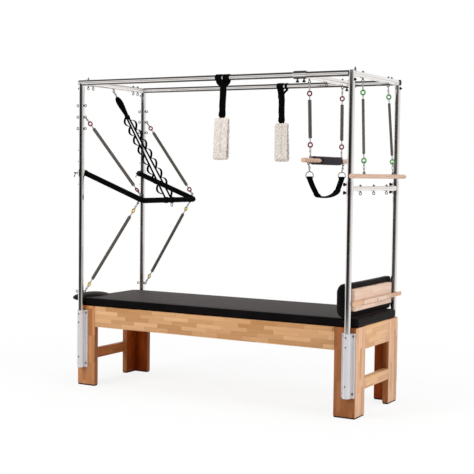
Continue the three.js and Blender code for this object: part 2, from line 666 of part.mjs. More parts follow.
// The collar that carries the pivot pin on a left post, and the spring pin that locks it.
function addPivot(side, sy) {
  const centre = vec(-corner.x, sy * corner.y, pivotZ);
  const low = centre.clone().addScaledVector(axes.z, -collar.height / 2);
  const high = centre.clone().addScaledVector(axes.z, collar.height / 2);
  const inwards = axes.y.clone().multiplyScalar(-sy);
  const pinEnd = corner.y - barY + pushBar.lugWidth / 2 + fit.gap;
  const pinFrom = centre.clone().addScaledVector(inwards, (tube.radius + collar.outer) / 2);
  const pinTo = centre.clone().addScaledVector(inwards, pinEnd + pushBar.pinHeadThick);
  const headFrom = centre.clone().addScaledVector(inwards, pinEnd);
  const outwards = axes.x.clone().negate();
  const bossEnd = centre.clone().addScaledVector(outwards, collar.outer + collar.bossLength);
  const ring = rod(low, high, collar.outer);
  const boss = rod(centre, bossEnd, collar.bossRadius, 8);
  const postHole = railCut(
    low.clone().addScaledVector(axes.z, -fit.overrun),
    high.clone().addScaledVector(axes.z, fit.overrun),
  );
  const body = cut(join(ring, boss), postHole, pinBore(centre.x, centre.y));
  const shank = rod(pinFrom, pinTo, pushBar.pinRadius, pushBar.pinSides);
  const pin = join(shank, rod(headFrom, pinTo, pushBar.pinHead, 12));
  add(`pivot_collar_${side}`, join(body, pin), 'chrome');
  const knobFrom = bossEnd.clone().addScaledVector(outwards, fit.gap);
  const knobTo = knobFrom.clone().addScaledVector(outwards, pullPin.length);
  const crossAt = knobFrom.clone().addScaledVector(outwards, pullPin.length - pullPin.crossRadius);
  const shankFrom = knobFrom.clone().addScaledVector(axes.x, pullPin.depth);
  const handle = join(
    rod(shankFrom, crossAt, pullPin.shank, 8),
    rod(knobFrom, knobTo, pullPin.neck, 8),
    rod(
      crossAt.clone().addScaledVector(axes.y, -pullPin.crossHalf),
      crossAt.clone().addScaledVector(axes.y, pullPin.crossHalf),
      pullPin.crossRadius,
      6,
    ),
  );
  add(`pull_pin_${side}`, handle, 'blackPlastic');
}

// The safety strap: one length of webbing from the middle eye of the left rail that parts into
// two strands with sewn loops, each passing round the foam of the push-through bar.
function addSafetyStrap() {
  const barCentre = (y) => vec(barX, y, barZ);
  const split = vec(strap.splitReach - corner.x, strap.topY, railZ - strap.splitDrop);
  const eyeBottom = bearing(vec(-corner.x, 0, railZ - eyeCentre), split);
  const along = split.clone().sub(eyeBottom).normalize();
  const seat = eye.wire + link.wire + fit.gap;
  const snap = longLink(
    eyeBottom.clone().addScaledVector(along, link.snapHalf - seat),
    along,
    along.clone().cross(axes.y).normalize(),
    link.snapHalf,
    link.snapHalfWidth,
  );
  const snapEnd = eyeBottom.clone().addScaledVector(along, 2 * link.snapHalf - seat - link.wire);
  const trunkEnd = split.clone().addScaledVector(along, strap.width);
  const trunk = band([snapEnd, trunkEnd], axes.y, strap.width * 1.2, strap.thick * 3);
  const strands = [strap.leftY, strap.rightY].map((y) => {
    const loopOuter = pushBar.foamRadius + strap.slack + strap.thick;
    const loop = pipe(
      barCentre(y - strap.width / 2),
      barCentre(y + strap.width / 2),
      loopOuter,
      pushBar.foamRadius + strap.slack,
      12,
    );
    const direction = barCentre(y).sub(split).normalize();
    const end = barCentre(y).addScaledVector(direction, -loopOuter + strap.thick / 2);
    const strand = band([split, end], axes.y, strap.width, strap.thick);
    const facing = direction.clone().cross(axes.y).normalize();
    const pockets = Array.from({ length: strapLoops.count }, (_, k) => {
      const place = (step) => split.clone().lerp(end, (k + 1 + step) / (strapLoops.count + 1.4));
      const top = place(0).addScaledVector(facing, strapLoops.bulge);
      return band([place(-0.48), top, place(0.48)], axes.y, strap.width * 0.8, strap.thick / 2);
    });
    return join(loop, strand, ...pockets);
  });
  add('safety_strap', join(snap, trunk, ...strands), 'webbing');
}

// A clamp knob: a cone on a short stem that goes some way into a collar.
function knobShape(from, out, depth) {
  const outline = [
    [0, 0], [knob.stem, 0], [knob.stem, depth + knob.length * 0.2], [knob.neck, depth + knob.length * 0.3],
    [knob.rim, depth + knob.length * 0.85], [knob.rim, depth + knob.length], [0, depth + knob.length],
  ];
  const start = from.clone().addScaledVector(out, -depth);
  return turned(start, from.clone().add(out), outline);
}

function knobSocket(from, out, depth) {
  const inside = from.clone().addScaledVector(out, -depth);
  return rod(inside, from.clone().addScaledVector(out, fit.overrun), knob.stem + fit.gap, knob.sides);
}

// The cross tube that slides along the long rails on two clamp collars.
function addSlideBar() {
  const down = axes.z.clone().negate();
  const parts = [];
  const bores = [];
  const fixedKnobs = [];
  for (const [side, sy] of [['front', -1], ['back', 1]]) {
    const y = sy * corner.y;
    const from = vec(slideX - slide.collarLength / 2, y, railZ);
    const to = vec(slideX + slide.collarLength / 2, y, railZ);
    parts.push(rod(from, to, slide.collarOuter));
    bores.push(railCut(
      from.clone().addScaledVector(axes.x, -fit.overrun),
      to.clone().addScaledVector(axes.x, fit.overrun),
    ));
    const seat = (sx) => vec(slideX + sx * slide.knobOffset, y, railZ - slide.collarOuter - fit.gap);
    bores.push(knobSocket(seat(-1), down, knob.depth + fit.gap));
    fixedKnobs.push(knobShape(seat(1), down, knob.depth));
    add(`slide_knob_${side}`, knobShape(seat(-1), down, knob.depth), 'blackPlastic');
  }
  const span = corner.y - tube.radius - tube.wall;
  parts.push(rod(vec(slideX, -span, railZ), vec(slideX, span, railZ), tube.radius));
  bores.push(rod(vec(slideX, -corner.y, railZ), vec(slideX, corner.y, railZ), tube.radius - tube.wall));
  const eyes = [-slide.eyeY, 0, slide.eyeY].map((y) => eyeBolt(vec(slideX, y, railZ), down, inWall, eyeCentre));
  add('slide_crossbar', join(cut(join(...parts), ...bores), ...eyes, ...fixedKnobs), 'chrome');
}

// A small eye in a dowel that faces a point, and the two points that a spring between them joins.
function dowelEye(onAxis, radius, facing) {
  const out = facing.clone().sub(onAxis).normalize();
  const centreAt = radius + barEye.reach;
  const centre = onAxis.clone().addScaledVector(out, centreAt);
  return {
    shape: eyeBolt(onAxis, out, 0, centreAt, barEye.ring),
    centre,
    top: bearing(facing, centre),
    foot: bearing(centre, facing, barEye.ring),
  };
}

// The trapeze: two springs, a wooden bar with a padded grip and a webbing sling under it.
function addTrapeze() {
  const onBar = (y) => vec(slideX, trapeze.shift + y, trapezeZ);
  const eyes = [];
  const slingEyes = [];
  for (const [side, sy] of [['front', -1], ['back', 1]]) {
    const above = vec(slideX, sy * slide.eyeY, railZ - eyeCentre);
    const hook = dowelEye(onBar(sy * trapeze.eyeY), trapeze.radius, above);
    add(`trapeze_spring_${side}`, coilSpring(hook.top, hook.foot, spring.coilRadius), 'springSteel');
    const below = onBar(sy * sling.eyeY).addScaledVector(axes.z, -trapeze.drop);
    const slingEye = dowelEye(onBar(sy * sling.eyeY), trapeze.radius, below);
    eyes.push(hook.shape, slingEye.shape);
    slingEyes.push(slingEye.centre);
  }
  const dowel = rod(onBar(-trapeze.halfLength), onBar(trapeze.halfLength), trapeze.radius);
  add('trapeze_dowel', join(dowel, ...eyes), 'dowel');
  const bore = trapeze.radius + fit.gap;
  const grip = pipe(onBar(-trapeze.gripHalf), onBar(trapeze.gripHalf), bore + trapeze.gripThick, bore);
  add('trapeze_grip', grip, 'foam');
  add('trapeze_sling', slingShape(slingEyes), 'webbing');
}

// Two snaps that hang in eyes under the bar, each with a flat-footed ring, and the strap between.
function slingShape(eyeCentres) {
  const parts = [];
  const feet = eyeCentres.map((centre, k) => {
    const ringY = trapeze.shift + (k === 0 ? -sling.ringY : sling.ringY);
    const seat = eye.wire + link.wire + fit.gap;
    const aimAt = vec(slideX, ringY, centre.z - 2 * sling.snapHalf - sling.ringHalf);
    const along = aimAt.clone().sub(centre).normalize();
    const snapAt = centre.clone().addScaledVector(along, barEye.ring + sling.snapHalf - seat);
    const acrossY = along.clone().cross(axes.x).normalize();
    parts.push(longLink(snapAt, along, axes.x, sling.snapHalf, link.snapHalfWidth));
    const ringAt = snapAt.clone().addScaledVector(along, sling.snapHalf + sling.ringHalf);
    parts.push(longLink(ringAt, along, acrossY, sling.ringHalf, sling.ringHalfWidth));
    return ringAt.addScaledVector(along, sling.ringHalf);
  });
  const onStrap = (y, drop) => vec(slideX, trapeze.shift + y, trapezeZ - drop);
  const path = [
    feet[0], onStrap(sling.leftY, sling.leftDrop), onStrap(0, sling.bottomDrop),
    onStrap(sling.rightY, sling.rightDrop), feet[1],
  ];
  return join(...parts, band(path, axes.x, sling.width, sling.thick));
}

// The roll-down bar: a long dowel on two springs that leans on the outside of the right posts.
function addRollDownBar() {
  const eyes = [];
  for (const [side, sy] of [['front', -1], ['back', 1]]) {
    const above = vec(corner.x, sy * roll.eyeTopY, railZ - eyeCentre);
    const hook = dowelEye(vec(rollX, sy * roll.eyeY, rollZ), roll.radius, above);
    eyes.push(hook.shape);
    add(`roll_spring_${side}`, coilSpring(hook.top, hook.foot, rollSpring.coilRadius), 'springSteel');
  }
  const dowel = rod(vec(rollX, -roll.halfLength, rollZ), vec(rollX, roll.halfLength, rollZ), roll.radius, 16);
  add('roll_down_bar', join(dowel, ...eyes), 'dowel');
}

// The lower cross bar, clamped to the right posts by two collars.
function addLowBar() {
  const parts = [];
  const bores = [];
  const fixedKnobs = [];
  const inwards = axes.x.clone().negate();
  const bottom = lowBarZ - lowBar.collarHeight / 2;
  const top = lowBarZ + lowBar.collarHeight / 2;
  for (const [side, sy] of [['front', -1], ['back', 1]]) {
    const y = sy * corner.y;
    parts.push(rod(vec(corner.x, y, bottom), vec(corner.x, y, top), lowBar.collarOuter));
    bores.push(railCut(vec(corner.x, y, bottom - fit.overrun), vec(corner.x, y, top + fit.overrun)));
    const seat = (sz) => vec(corner.x - lowBar.collarOuter - fit.gap, y, lowBarZ + sz * lowBar.knobOffset);
    bores.push(knobSocket(seat(1), inwards, tube.wall * 2));
    fixedKnobs.push(knobShape(seat(-1), inwards, lowBar.knobDepth));
    add(`low_knob_${side}`, knobShape(seat(1), inwards, lowBar.knobDepth), 'blackPlastic');
  }
  const span = corner.y - tube.radius - tube.wall / 2;
  parts.push(rod(vec(corner.x, -span, lowBarZ), vec(corner.x, span, lowBarZ), lowBar.radius));
  const hollow = lowBar.radius - tube.wall;
  bores.push(rod(vec(corner.x, -corner.y, lowBarZ), vec(corner.x, corner.y, lowBarZ), hollow));
  const eyeAt = lowBar.radius + eye.reach;
  const down = axes.z.clone().negate();
  const inBarWall = lowBar.radius - tube.wall * 0.9;
  const eyes = [-lowBar.eyeY, 0, lowBar.eyeY].map((y) => (
    eyeBolt(vec(corner.x, y, lowBarZ), down, inBarWall, eyeAt)
  ));
  add('low_crossbar', join(cut(join(...parts), ...bores), ...eyes, ...fixedKnobs), 'chrome');
}

// An ankle loop: webbing round a long rail, a hanging strap and a thick fleece loop.
function ankleLoop(x, sy) {
  const y = sy * corner.y;
  const bore = tube.radius + fit.gap * 2;
  const wrap = pipe(
    vec(x - ankle.wrapWidth / 2, y, railZ),
    vec(x + ankle.wrapWidth / 2, y, railZ),
    bore + ankle.wrapThick,
    bore,
  );
  const top = vec(x, y, railZ - bore - ankle.wrapThick / 2);
  const end = vec(x, y, railZ - ankle.strapDrop - ankle.fleeceThick);
  const drop = band([top, end], axes.x, ankle.width, ankle.thick);
  const height = ankle.fleeceHeight;
  const outer = fleeceOutline(height, ankle.fleeceDepth / 2, 0);
  const inner = fleeceOutline(height, ankle.fleeceDepth / 2, ankle.fleeceThick);
  const shape = new THREE.Shape(outer);
  shape.holes.push(new THREE.Path(inner));
  const fleece = new THREE.ExtrudeGeometry(shape, { depth: ankle.fleeceWidth, bevelEnabled: false });
  const placed = new THREE.Matrix4().makeBasis(axes.y, axes.z, axes.x);
  placed.setPosition(x - ankle.fleeceWidth / 2, y, railZ - ankle.strapDrop);
  return join(wrap, drop, fleece.applyMatrix4(placed));
}

// A hanging drop: narrow at its top, full and round at its foot, drawn in by a wall.
function fleeceOutline(height, halfDepth, wall) {
  const foot = halfDepth - wall;
  const footCentre = -height + halfDepth;
  const points = [new THREE.Vector2(0, -wall * 1.8), new THREE.Vector2(-foot * 0.75, -height * 0.3 - wall / 2)];
  const steps = 8;
  for (let k = 0; k <= steps; k += 1) {
    const angle = Math.PI + k / steps * Math.PI;
    points.push(new THREE.Vector2(foot * Math.cos(angle), footCentre + foot * Math.sin(angle)));
  }
  points.push(new THREE.Vector2(foot * 0.75, -height * 0.3 - wall / 2));
  return points;
}

// The backrest: a crowned pad on a board, with a bar that slides in two keepers behind it.
function addBackrest() {
  const pad = cushion({
    halfX: backrest.height / 2,
    halfY: backHalf,
    thick: backrest.depth - backrest.crown,
    crown: backrest.crown,
    edge: backrest.edge,
    corner: backrest.corner,
    drawn: backrest.drawn,
    sideSteps: 4,
  });
  const turn = new THREE.Matrix4().makeBasis(axes.z, axes.y, axes.x.clone().negate());
  turn.setPosition(backX - fit.gap, 0, backZ + backrest.height / 2);
  add('backrest_pad', pad.applyMatrix4(turn), 'vinyl');
  const boardBack = backX + backBoard.thick;
  const boardHalf = backHalf - backBoard.endInset;
  const boardBottom = backZ + backBoard.rise;
  const plate = block(
    vec(backX, -boardHalf, boardBottom),
    vec(boardBack, boardHalf, boardBottom + backBoard.height),
  );
  const keeperHalf = backHalf - keeper.endInset;
  const channel = block(
    vec(boardBack - fit.gap, -keeperHalf, backBarZ - keeper.height / 2),
    vec(backBarX + backBar.thick / 2 + keeper.wall, keeperHalf, backBarZ + keeper.height / 2),
  );
  const barHalf = corner.y + backBar.beyondPost;
  const halfHeight = backBar.height / 2 + fit.gap;
  const halfThick = backBar.thick / 2 + fit.gap;
  const slot = block(
    vec(backBarX - halfThick, -barHalf * 2, backBarZ - halfHeight),
    vec(backBarX + halfThick, barHalf * 2, backBarZ + halfHeight),
  );
  add('backrest_board', cut(join(plate, channel), slot), 'paleWood');
  const bar = block(
    vec(backBarX - backBar.thick / 2, backBar.shift - barHalf, backBarZ - backBar.height / 2),
    vec(backBarX + backBar.thick / 2, backBar.shift + barHalf, backBarZ + backBar.height / 2),
  );
  add('backrest_bar', bar, 'paleWood');
}

// A small lens-shaped cushion that lies over the front left corner of the mat.
function addHeadCushion() {
  const steps = 20;
  const levelShares = [-0.95, -0.7, 0, 0.7, 0.95];
  const rings = levelShares.map((share) => {
    const spread = Math.sqrt(1 - share * share);
    return Array.from({ length: steps }, (_, k) => {
      const angle = k / steps * 2 * Math.PI;
      return vec(
        cushionX + headCushion.halfX * spread * Math.cos(angle),
        headCushion.y + headCushion.halfY * spread * Math.sin(angle),
        table.top + headCushion.rise + headCushion.halfZ * share,
      );
    });
  });
  add('head_cushion', cut(loft(rings), matShape(fit.gap * 2)), 'vinyl');
}

addTable();
add('mat', matShape(0), 'vinyl');
addUprights();
addTopRails();
addPushBar();
addSafetyStrap();
addSlideBar();
addTrapeze();
addRollDownBar();
addLowBar();
add('ankle_loop_front', ankleLoop(ankle.frontX, -1), 'fleece');
add('ankle_loop_back', ankleLoop(ankle.backX, 1), 'fleece');
addBackrest();
addHeadCushion();
console.log(`least gap of a spring to itself: ${Math.min(...springGaps).toFixed(2)} mm`);

const trapezeTable = new THREE.Group();
trapezeTable.add(machine);

export default trapezeTable;
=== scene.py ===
import math

import bmesh
import bpy
from mathutils import Matrix, Vector, noise


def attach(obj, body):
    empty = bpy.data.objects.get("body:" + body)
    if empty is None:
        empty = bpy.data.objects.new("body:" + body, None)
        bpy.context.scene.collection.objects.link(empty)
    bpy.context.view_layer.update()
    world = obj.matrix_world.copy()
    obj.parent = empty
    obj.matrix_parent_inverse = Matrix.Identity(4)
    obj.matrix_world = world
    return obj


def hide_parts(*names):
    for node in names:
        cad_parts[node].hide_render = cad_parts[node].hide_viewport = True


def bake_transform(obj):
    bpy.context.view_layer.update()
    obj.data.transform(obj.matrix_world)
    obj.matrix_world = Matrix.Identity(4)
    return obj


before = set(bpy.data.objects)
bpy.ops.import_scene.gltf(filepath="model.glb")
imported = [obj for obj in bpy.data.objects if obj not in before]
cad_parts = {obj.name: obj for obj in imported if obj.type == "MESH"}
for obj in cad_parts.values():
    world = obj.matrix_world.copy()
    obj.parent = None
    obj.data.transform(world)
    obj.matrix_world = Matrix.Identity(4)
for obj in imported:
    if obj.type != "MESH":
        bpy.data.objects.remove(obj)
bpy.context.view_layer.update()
scene = bpy.context.scene

# Sizes are in millimetres in the table's own frame. Its origin lies at x = SHIFT in the row's frame.
MM = 0.001
SHIFT = 58.0
TOP = 559.0
HALF_X, HALF_Y = 1055.0, 345.0
POST_X, POST_Y = 1009.0, 374.0
RAIL_Z = 2100.0
TUBE, BORE = 19.0, 16.5
PIVOT_Z = 1482.0
BAR_X, BAR_Y, BAR_Z = -525.0, 331.0, 1301.0
FOAM = 18.5
SLIDE_X = 668.0
TRAPEZE_Z, TRAPEZE_Y = 1580.0, 19.0
ROLL_X, ROLL_Z = 1043.0, 1484.0
LOW_Z = 1407.0
SIDES = (("front", -1), ("back", 1))
ENDS = (("left", -1), ("right", 1))
X, Y, Z = (Vector(axis) for axis in ((1, 0, 0), (0, 1, 0), (0, 0, 1)))

# Eyes: how far an eye's centre lies from its tube's axis, its ring and its wire.
# The bars that springs hold have smaller ones.
EYE_AT, EYE_RING, EYE_WIRE = 33.0, 8.0, 2.6
SMALL_EYE = 7.0


def at(x, y, z):
    return Vector((x, y, z))


def add_node(tree, kind, inputs=(), **settings):
    """Adds a shader node and sets or links its inputs."""
    made = tree.nodes.new(kind)
    for key, value in settings.items():
        setattr(made, key, value)
    for key, value in dict(inputs).items():
        if isinstance(value, bpy.types.NodeSocket):
            tree.links.new(value, made.inputs[key])
        else:
            made.inputs[key].default_value = value
    return made


def add_ramp(tree, value, stops):
    made = add_node(tree, "ShaderNodeValToRGB", {"Fac": value})
    ramp = made.color_ramp
    while len(ramp.elements) < len(stops):
        ramp.elements.new(0.5)
    for element, (position, colour) in zip(ramp.elements, stops):
        element.position = position
        element.color = (*colour, 1)
    return made.outputs["Color"]


# The camera, at the photograph's viewing angle.
CAMERA_AT = at(3703.8331, -6522.1026, 1484.8914)
YAW, PITCH, ROLL = -0.5140, 0.0564, 0.0126
LENS, SENSOR = 84.147, 36


def add_camera():
    forward = at(math.sin(YAW) * math.cos(PITCH), math.cos(YAW) * math.cos(PITCH), -math.sin(PITCH))
    level = at(math.cos(YAW), -math.sin(YAW), 0)
    upright = level.cross(forward)
    right = level * math.cos(ROLL) + upright * math.sin(ROLL)
    up = upright * math.cos(ROLL) - level * math.sin(ROLL)
    data = bpy.data.cameras.new("camera")
    data.lens = LENS
    data.sensor_width = SENSOR
    data.clip_end = 100
    camera = bpy.data.objects.new("camera", data)
    turn = Matrix((right, up, -forward)).transposed().to_4x4()
    camera.matrix_world = Matrix.Translation((CAMERA_AT + X * SHIFT) * MM) @ turn
    scene.collection.objects.link(camera)
    scene.camera = camera


# Materials. Each one's colour and bump come from its own nodes.
class Shader:
    def __init__(self, name, roughness, metallic=0.0, specular=0.5):
        self.material = bpy.data.materials.new(name)
        self.material.use_nodes = True
        self.tree = self.material.node_tree
        self.out = self.tree.nodes["Principled BSDF"]
        self.set({"Roughness": roughness, "Metallic": metallic, "Specular IOR Level": specular})
        self.coords = self.node("ShaderNodeTexCoord").outputs["Object"]

    def set(self, values):
        for socket, value in values.items():
            self.out.inputs[socket].default_value = value

    def node(self, kind, inputs=(), **settings):
        return add_node(self.tree, kind, inputs, **settings)

    def math(self, operation, a, b=0.0):
        return self.node("ShaderNodeMath", {0: a, 1: b}, operation=operation).outputs[0]

    def scaled(self, vector, scale):
        return self.node("ShaderNodeMapping", {"Vector": vector, "Scale": scale}).outputs["Vector"]

    def split(self):
        return self.node("ShaderNodeSeparateXYZ", {0: self.coords}).outputs

    def noise(self, vector, scale, detail=3.0, roughness=0.5, distortion=0.0):
        names = ("Vector", "Scale", "Detail", "Roughness", "Distortion")
        inputs = dict(zip(names, (vector, scale, detail, roughness, distortion)))
        return self.node("ShaderNodeTexNoise", inputs).outputs["Fac"]

    def ramp(self, value, *stops):
        return add_ramp(self.tree, value, stops)

    def mix(self, factor, a, b, blend="MIX"):
        inputs = {0: factor, 6: a, 7: b}
        inputs = {key: (*value, 1) if isinstance(value, tuple) else value for key, value in inputs.items()}
        return self.node("ShaderNodeMix", inputs, data_type="RGBA", blend_type=blend).outputs[2]

    def span(self, value, low, high):
        inputs = {"Value": value, "To Min": low, "To Max": high}
        return self.node("ShaderNodeMapRange", inputs).outputs["Result"]

    def link(self, socket, value):
        self.tree.links.new(value, self.out.inputs[socket])

    def bump(self, height, strength, distance):
        inputs = {"Height": height, "Strength": strength, "Distance": distance}
        self.link("Normal", self.node("ShaderNodeBump", inputs).outputs["Normal"])


# Staves: their width, their length and how deep their finger joints reach, in metres.
STAVE_WIDTH, STAVE_LENGTH, FINGER = 0.027, 0.19, 0.006
ROW_OFFSET, STAVE_OFFSET = 50.37, 40.0
GLUE_LINE = (0.17, 0.075, 0.03)


def wood_material(name, grain, across, stops, specular=0.22):
    """Lacquered wood glued up from staves that run along one axis and lie side by side along another."""
    shader = Shader(name, 0.4, specular=specular)
    parts = shader.split()
    along, side = parts[grain], parts[across]
    rows = shader.math("ADD", shader.math("DIVIDE", side, STAVE_WIDTH), ROW_OFFSET)
    row = shader.math("FLOOR", rows)
    row_random = shader.node("ShaderNodeTexWhiteNoise", {"W": row}, noise_dimensions="1D").outputs["Value"]
    saw = shader.math("PINGPONG", shader.math("DIVIDE", side, FINGER / 2), 1.0)
    place = shader.math("ADD", shader.math("MULTIPLY", row_random, STAVE_LENGTH * 5), along)
    place = shader.math("ADD", shader.math("MULTIPLY", saw, FINGER), place)
    places = shader.math("ADD", shader.math("DIVIDE", place, STAVE_LENGTH), STAVE_OFFSET)
    pair = shader.node("ShaderNodeCombineXYZ", {0: row, 1: shader.math("FLOOR", places)}).outputs[0]
    tone = shader.node("ShaderNodeTexWhiteNoise", {0: pair}, noise_dimensions="2D").outputs["Value"]
    base = shader.ramp(tone, *stops)
    shift = shader.node("ShaderNodeVectorMath", {0: shader.coords, 1: pair}, operation="ADD").outputs[0]

    def streaks(wide, long, *settings):
        scale = [wide] * 3
        scale[grain] = long
        return shader.noise(shader.scaled(shift, scale), 1.0, *settings)

    def stained(colour, factor, stain):
        return shader.mix(factor, colour, shader.mix(1.0, colour, stain, "MULTIPLY"))

    grain_lines = streaks(60.0, 3.2, 4.0, 0.6, 0.4)
    pores = streaks(420.0, 22.0, 2.0, 0.6)
    figured = stained(base, shader.span(grain_lines, 0.0, 0.75), (0.74, 0.62, 0.5))
    pitted = stained(figured, shader.span(pores, -0.35, 0.55), (0.7, 0.62, 0.55))
    edges = ((rows, 0.018), (places, 0.0028))
    line = shader.math("MAXIMUM", *(
        shader.math("LESS_THAN", shader.math("PINGPONG", value, 0.5), width) for value, width in edges
    ))
    shader.link("Base Color", shader.mix(shader.math("MULTIPLY", line, 0.42), pitted, GLUE_LINE))
    shader.link("Roughness", shader.span(pores, 0.32, 0.5))
    shader.bump(shader.math("SUBTRACT", pores, line), 0.16, 0.0006)
    return shader.material


def tones(base, spread):
    """Stave tones about a base colour: the darker ones are redder, the paler ones whiter."""
    shares = (-0.9, 0.2, 0.9, -0.4, 0.5, 0.0)
    warmth = (0.72, 1.0, 1.5)
    last = len(shares) - 1
    return [
        (k / last, tuple(c * (1 + spread * share * w) for c, w in zip(base, warmth)))
        for k, share in enumerate(shares)
    ]


def coat(shader, value, dark, light, low, high, gloss):
    """Links a value to the colour, between two stops of a ramp, and to the roughness."""
    shader.link("Base Color", shader.ramp(value, (low, dark), (high, light)))
    shader.link("Roughness", shader.span(value, *gloss))


def dowel_material():
    shader = Shader("dowel_wood", 0.42)
    lines = shader.noise(shader.scaled(shader.coords, (130.0, 3.0, 130.0)), 1.0, 4.0, 0.6, 0.6)
    pores = shader.noise(shader.scaled(shader.coords, (700.0, 30.0, 700.0)), 1.0, 2.0)
    stops = (0.3, (0.74, 0.52, 0.40)), (0.55, (0.62, 0.41, 0.295)), (0.75, (0.46, 0.28, 0.19))
    base = shader.ramp(lines, *stops)
    shader.link("Base Color", shader.mix(shader.span(pores, 0.0, 0.3), base, (0.55, 0.34, 0.22)))
    shader.link("Roughness", shader.span(pores, 0.34, 0.52))
    shader.bump(pores, 0.12, 0.0005)
    return shader.material


def vinyl_material():
    shader = Shader("black_vinyl", 0.42, specular=0.028)
    shader.set({"Sheen Weight": 0.06, "Sheen Roughness": 0.35, "Sheen Tint": (1.0, 0.74, 0.66, 1)})
    inputs = {"Vector": shader.coords, "Scale": 620.0}
    cells = shader.node("ShaderNodeTexVoronoi", inputs, feature="DISTANCE_TO_EDGE").outputs["Distance"]
    grain = shader.ramp(cells, (0.0, (0, 0, 0)), (0.12, (1, 1, 1)))
    cloud = shader.noise(shader.coords, 7.0, 4.0)
    stops = (0.3, (0.0028, 0.0024, 0.0028)), (0.7, (0.0052, 0.0044, 0.005))
    shader.link("Base Color", shader.ramp(cloud, *stops))
    shader.link("Roughness", shader.span(shader.noise(shader.coords, 45.0, 3.0), 0.38, 0.5))
    shader.bump(shader.math("ADD", grain, shader.noise(shader.coords, 16.0)), 0.2, 0.0005)
    return shader.material


def chrome_material():
    shader = Shader("polished_steel", 0.08, metallic=1.0)
    smears = shader.noise(shader.scaled(shader.coords, (30.0, 30.0, 6.0)), 1.0, 4.0, 0.6)
    coat(shader, smears, (0.82, 0.80, 0.79), (0.92, 0.90, 0.885), 0.2, 0.8, (0.05, 0.12))
    shader.bump(shader.noise(shader.coords, 900.0, 2.0), 0.02, 0.0002)
    return shader.material


def metal_material(name, dark, light, gloss, scale, metallic=1.0):
    """Metal with a drawn or brushed face. The scale sets how fine its streaks are along each axis."""
    shader = Shader(name, sum(gloss) / 2, metallic)
    streaks = shader.noise(shader.scaled(shader.coords, scale), 1.0, 4.0, 0.65)
    coat(shader, streaks, dark, light, 0.25, 0.75, gloss)
    shader.bump(streaks, 0.08, 0.0004)
    return shader.material


def matt_material(name, dark, light, gloss, scale, bump, specular=0.16):
    """A dull, finely mottled surface, such as foam, rubber, enamel or moulded plastic."""
    shader = Shader(name, sum(gloss) / 2, specular=specular)
    grain = shader.noise(shader.coords, scale, 4.0, 0.7)
    coat(shader, grain, dark, light, 0.3, 0.7, gloss)
    shader.bump(grain, bump, 0.0006)
    return shader.material


RIB_HALF, PICK_HALF = 0.0011, 0.0009


def webbing_material(name, dark, light):
    shader = Shader(name, 0.75, specular=0.03)
    parts = shader.split()
    diagonal = shader.math("ADD", parts[0], parts[1])
    ribs = shader.math("PINGPONG", shader.math("DIVIDE", diagonal, RIB_HALF), 1.0)
    picks = shader.math("PINGPONG", shader.math("DIVIDE", parts[2], PICK_HALF), 1.0)
    weave = shader.math("MULTIPLY", ribs, picks)
    fuzz = shader.noise(shader.coords, 300.0, 3.0)
    shader.link("Base Color", shader.mix(shader.math("MULTIPLY", weave, fuzz), dark, light))
    shader.link("Roughness", shader.span(fuzz, 0.62, 0.88))
    shader.bump(weave, 0.5, 0.0006)
    return shader.material


def fleece_material():
    shader = Shader("cream_fleece", 0.95, specular=0.2)
    shader.set({"Sheen Weight": 0.25, "Sheen Roughness": 0.6, "Subsurface Weight": 0.1})
    shader.set({"Subsurface Radius": (0.01, 0.008, 0.006)})
    tufts = shader.noise(shader.coords, 70.0, 5.0, 0.75)
    curls = shader.noise(shader.coords, 420.0, 4.0, 0.8)
    # The pile's colour follows the same noise as its bump and is darker where the bump sinks: partly the
    # fleece's own tone, partly painted shade in the hollows between tufts.
    stops = (0.28, (0.47, 0.41, 0.36)), (0.5, (0.64, 0.58, 0.53)), (0.72, (0.76, 0.71, 0.665))
    base = shader.ramp(tufts, *stops)
    shader.link("Base Color", shader.mix(shader.span(curls, 0.0, 0.3), base, (0.79, 0.745, 0.70)))
    shader.bump(shader.math("ADD", tufts, curls), 0.4, 0.002)
    return shader.material


# Woods, each with the axis of its staves and the axis along which they lie side by side.
wood_apron = wood_material("wood_apron", 0, 2, tones((0.59, 0.335, 0.16), 0.44))
wood_leg_left = wood_material("wood_left_leg_face", 2, 0, tones((0.49, 0.22, 0.092), 0.44))
# A darker copy of the leg wood, as painted shade: on the front right leg's face in the shadow of its post and
# bracket, on the wide boards' inner ends and on the end boards' inward edges.
wood_leg_painted_shade = wood_material("wood_leg_face_painted_shade", 2, 0, tones((0.32, 0.12, 0.042), 0.44), 0.14)
# A still darker, redder copy of the leg wood, as painted shade under the table, for the leg boards' faces
# that look inward.
wood_inner_painted_shade = wood_material("wood_leg_inner_painted_shade", 2, 0, tones((0.30, 0.058, 0.007), 0.4), 0.06)
# A paler copy of the leg wood, as painted light, for the leg boards' faces that look out along the table's
# length.
wood_end_painted_light = wood_material("wood_leg_end_painted_light", 2, 1, tones((0.76, 0.47, 0.29), 0.26))
wood_rail = wood_material("wood_end_rail", 1, 2, tones((0.80, 0.49, 0.265), 0.24))
# The left brace's darker wood is painted shade under the table.
wood_brace_painted_shade = wood_material("wood_left_brace_painted_shade", 1, 2, tones((0.53, 0.19, 0.05), 0.3), 0.12)
pale_board = wood_material("pale_wood_board", 1, 2, tones((0.89, 0.68, 0.56), 0.09))
pale_bar = wood_material("pale_wood_bar", 1, 2, tones((0.82, 0.54, 0.37), 0.16))
pale_deck = wood_material("pale_wood_deck", 0, 1, tones((0.86, 0.68, 0.50), 0.08))
dowel = dowel_material()

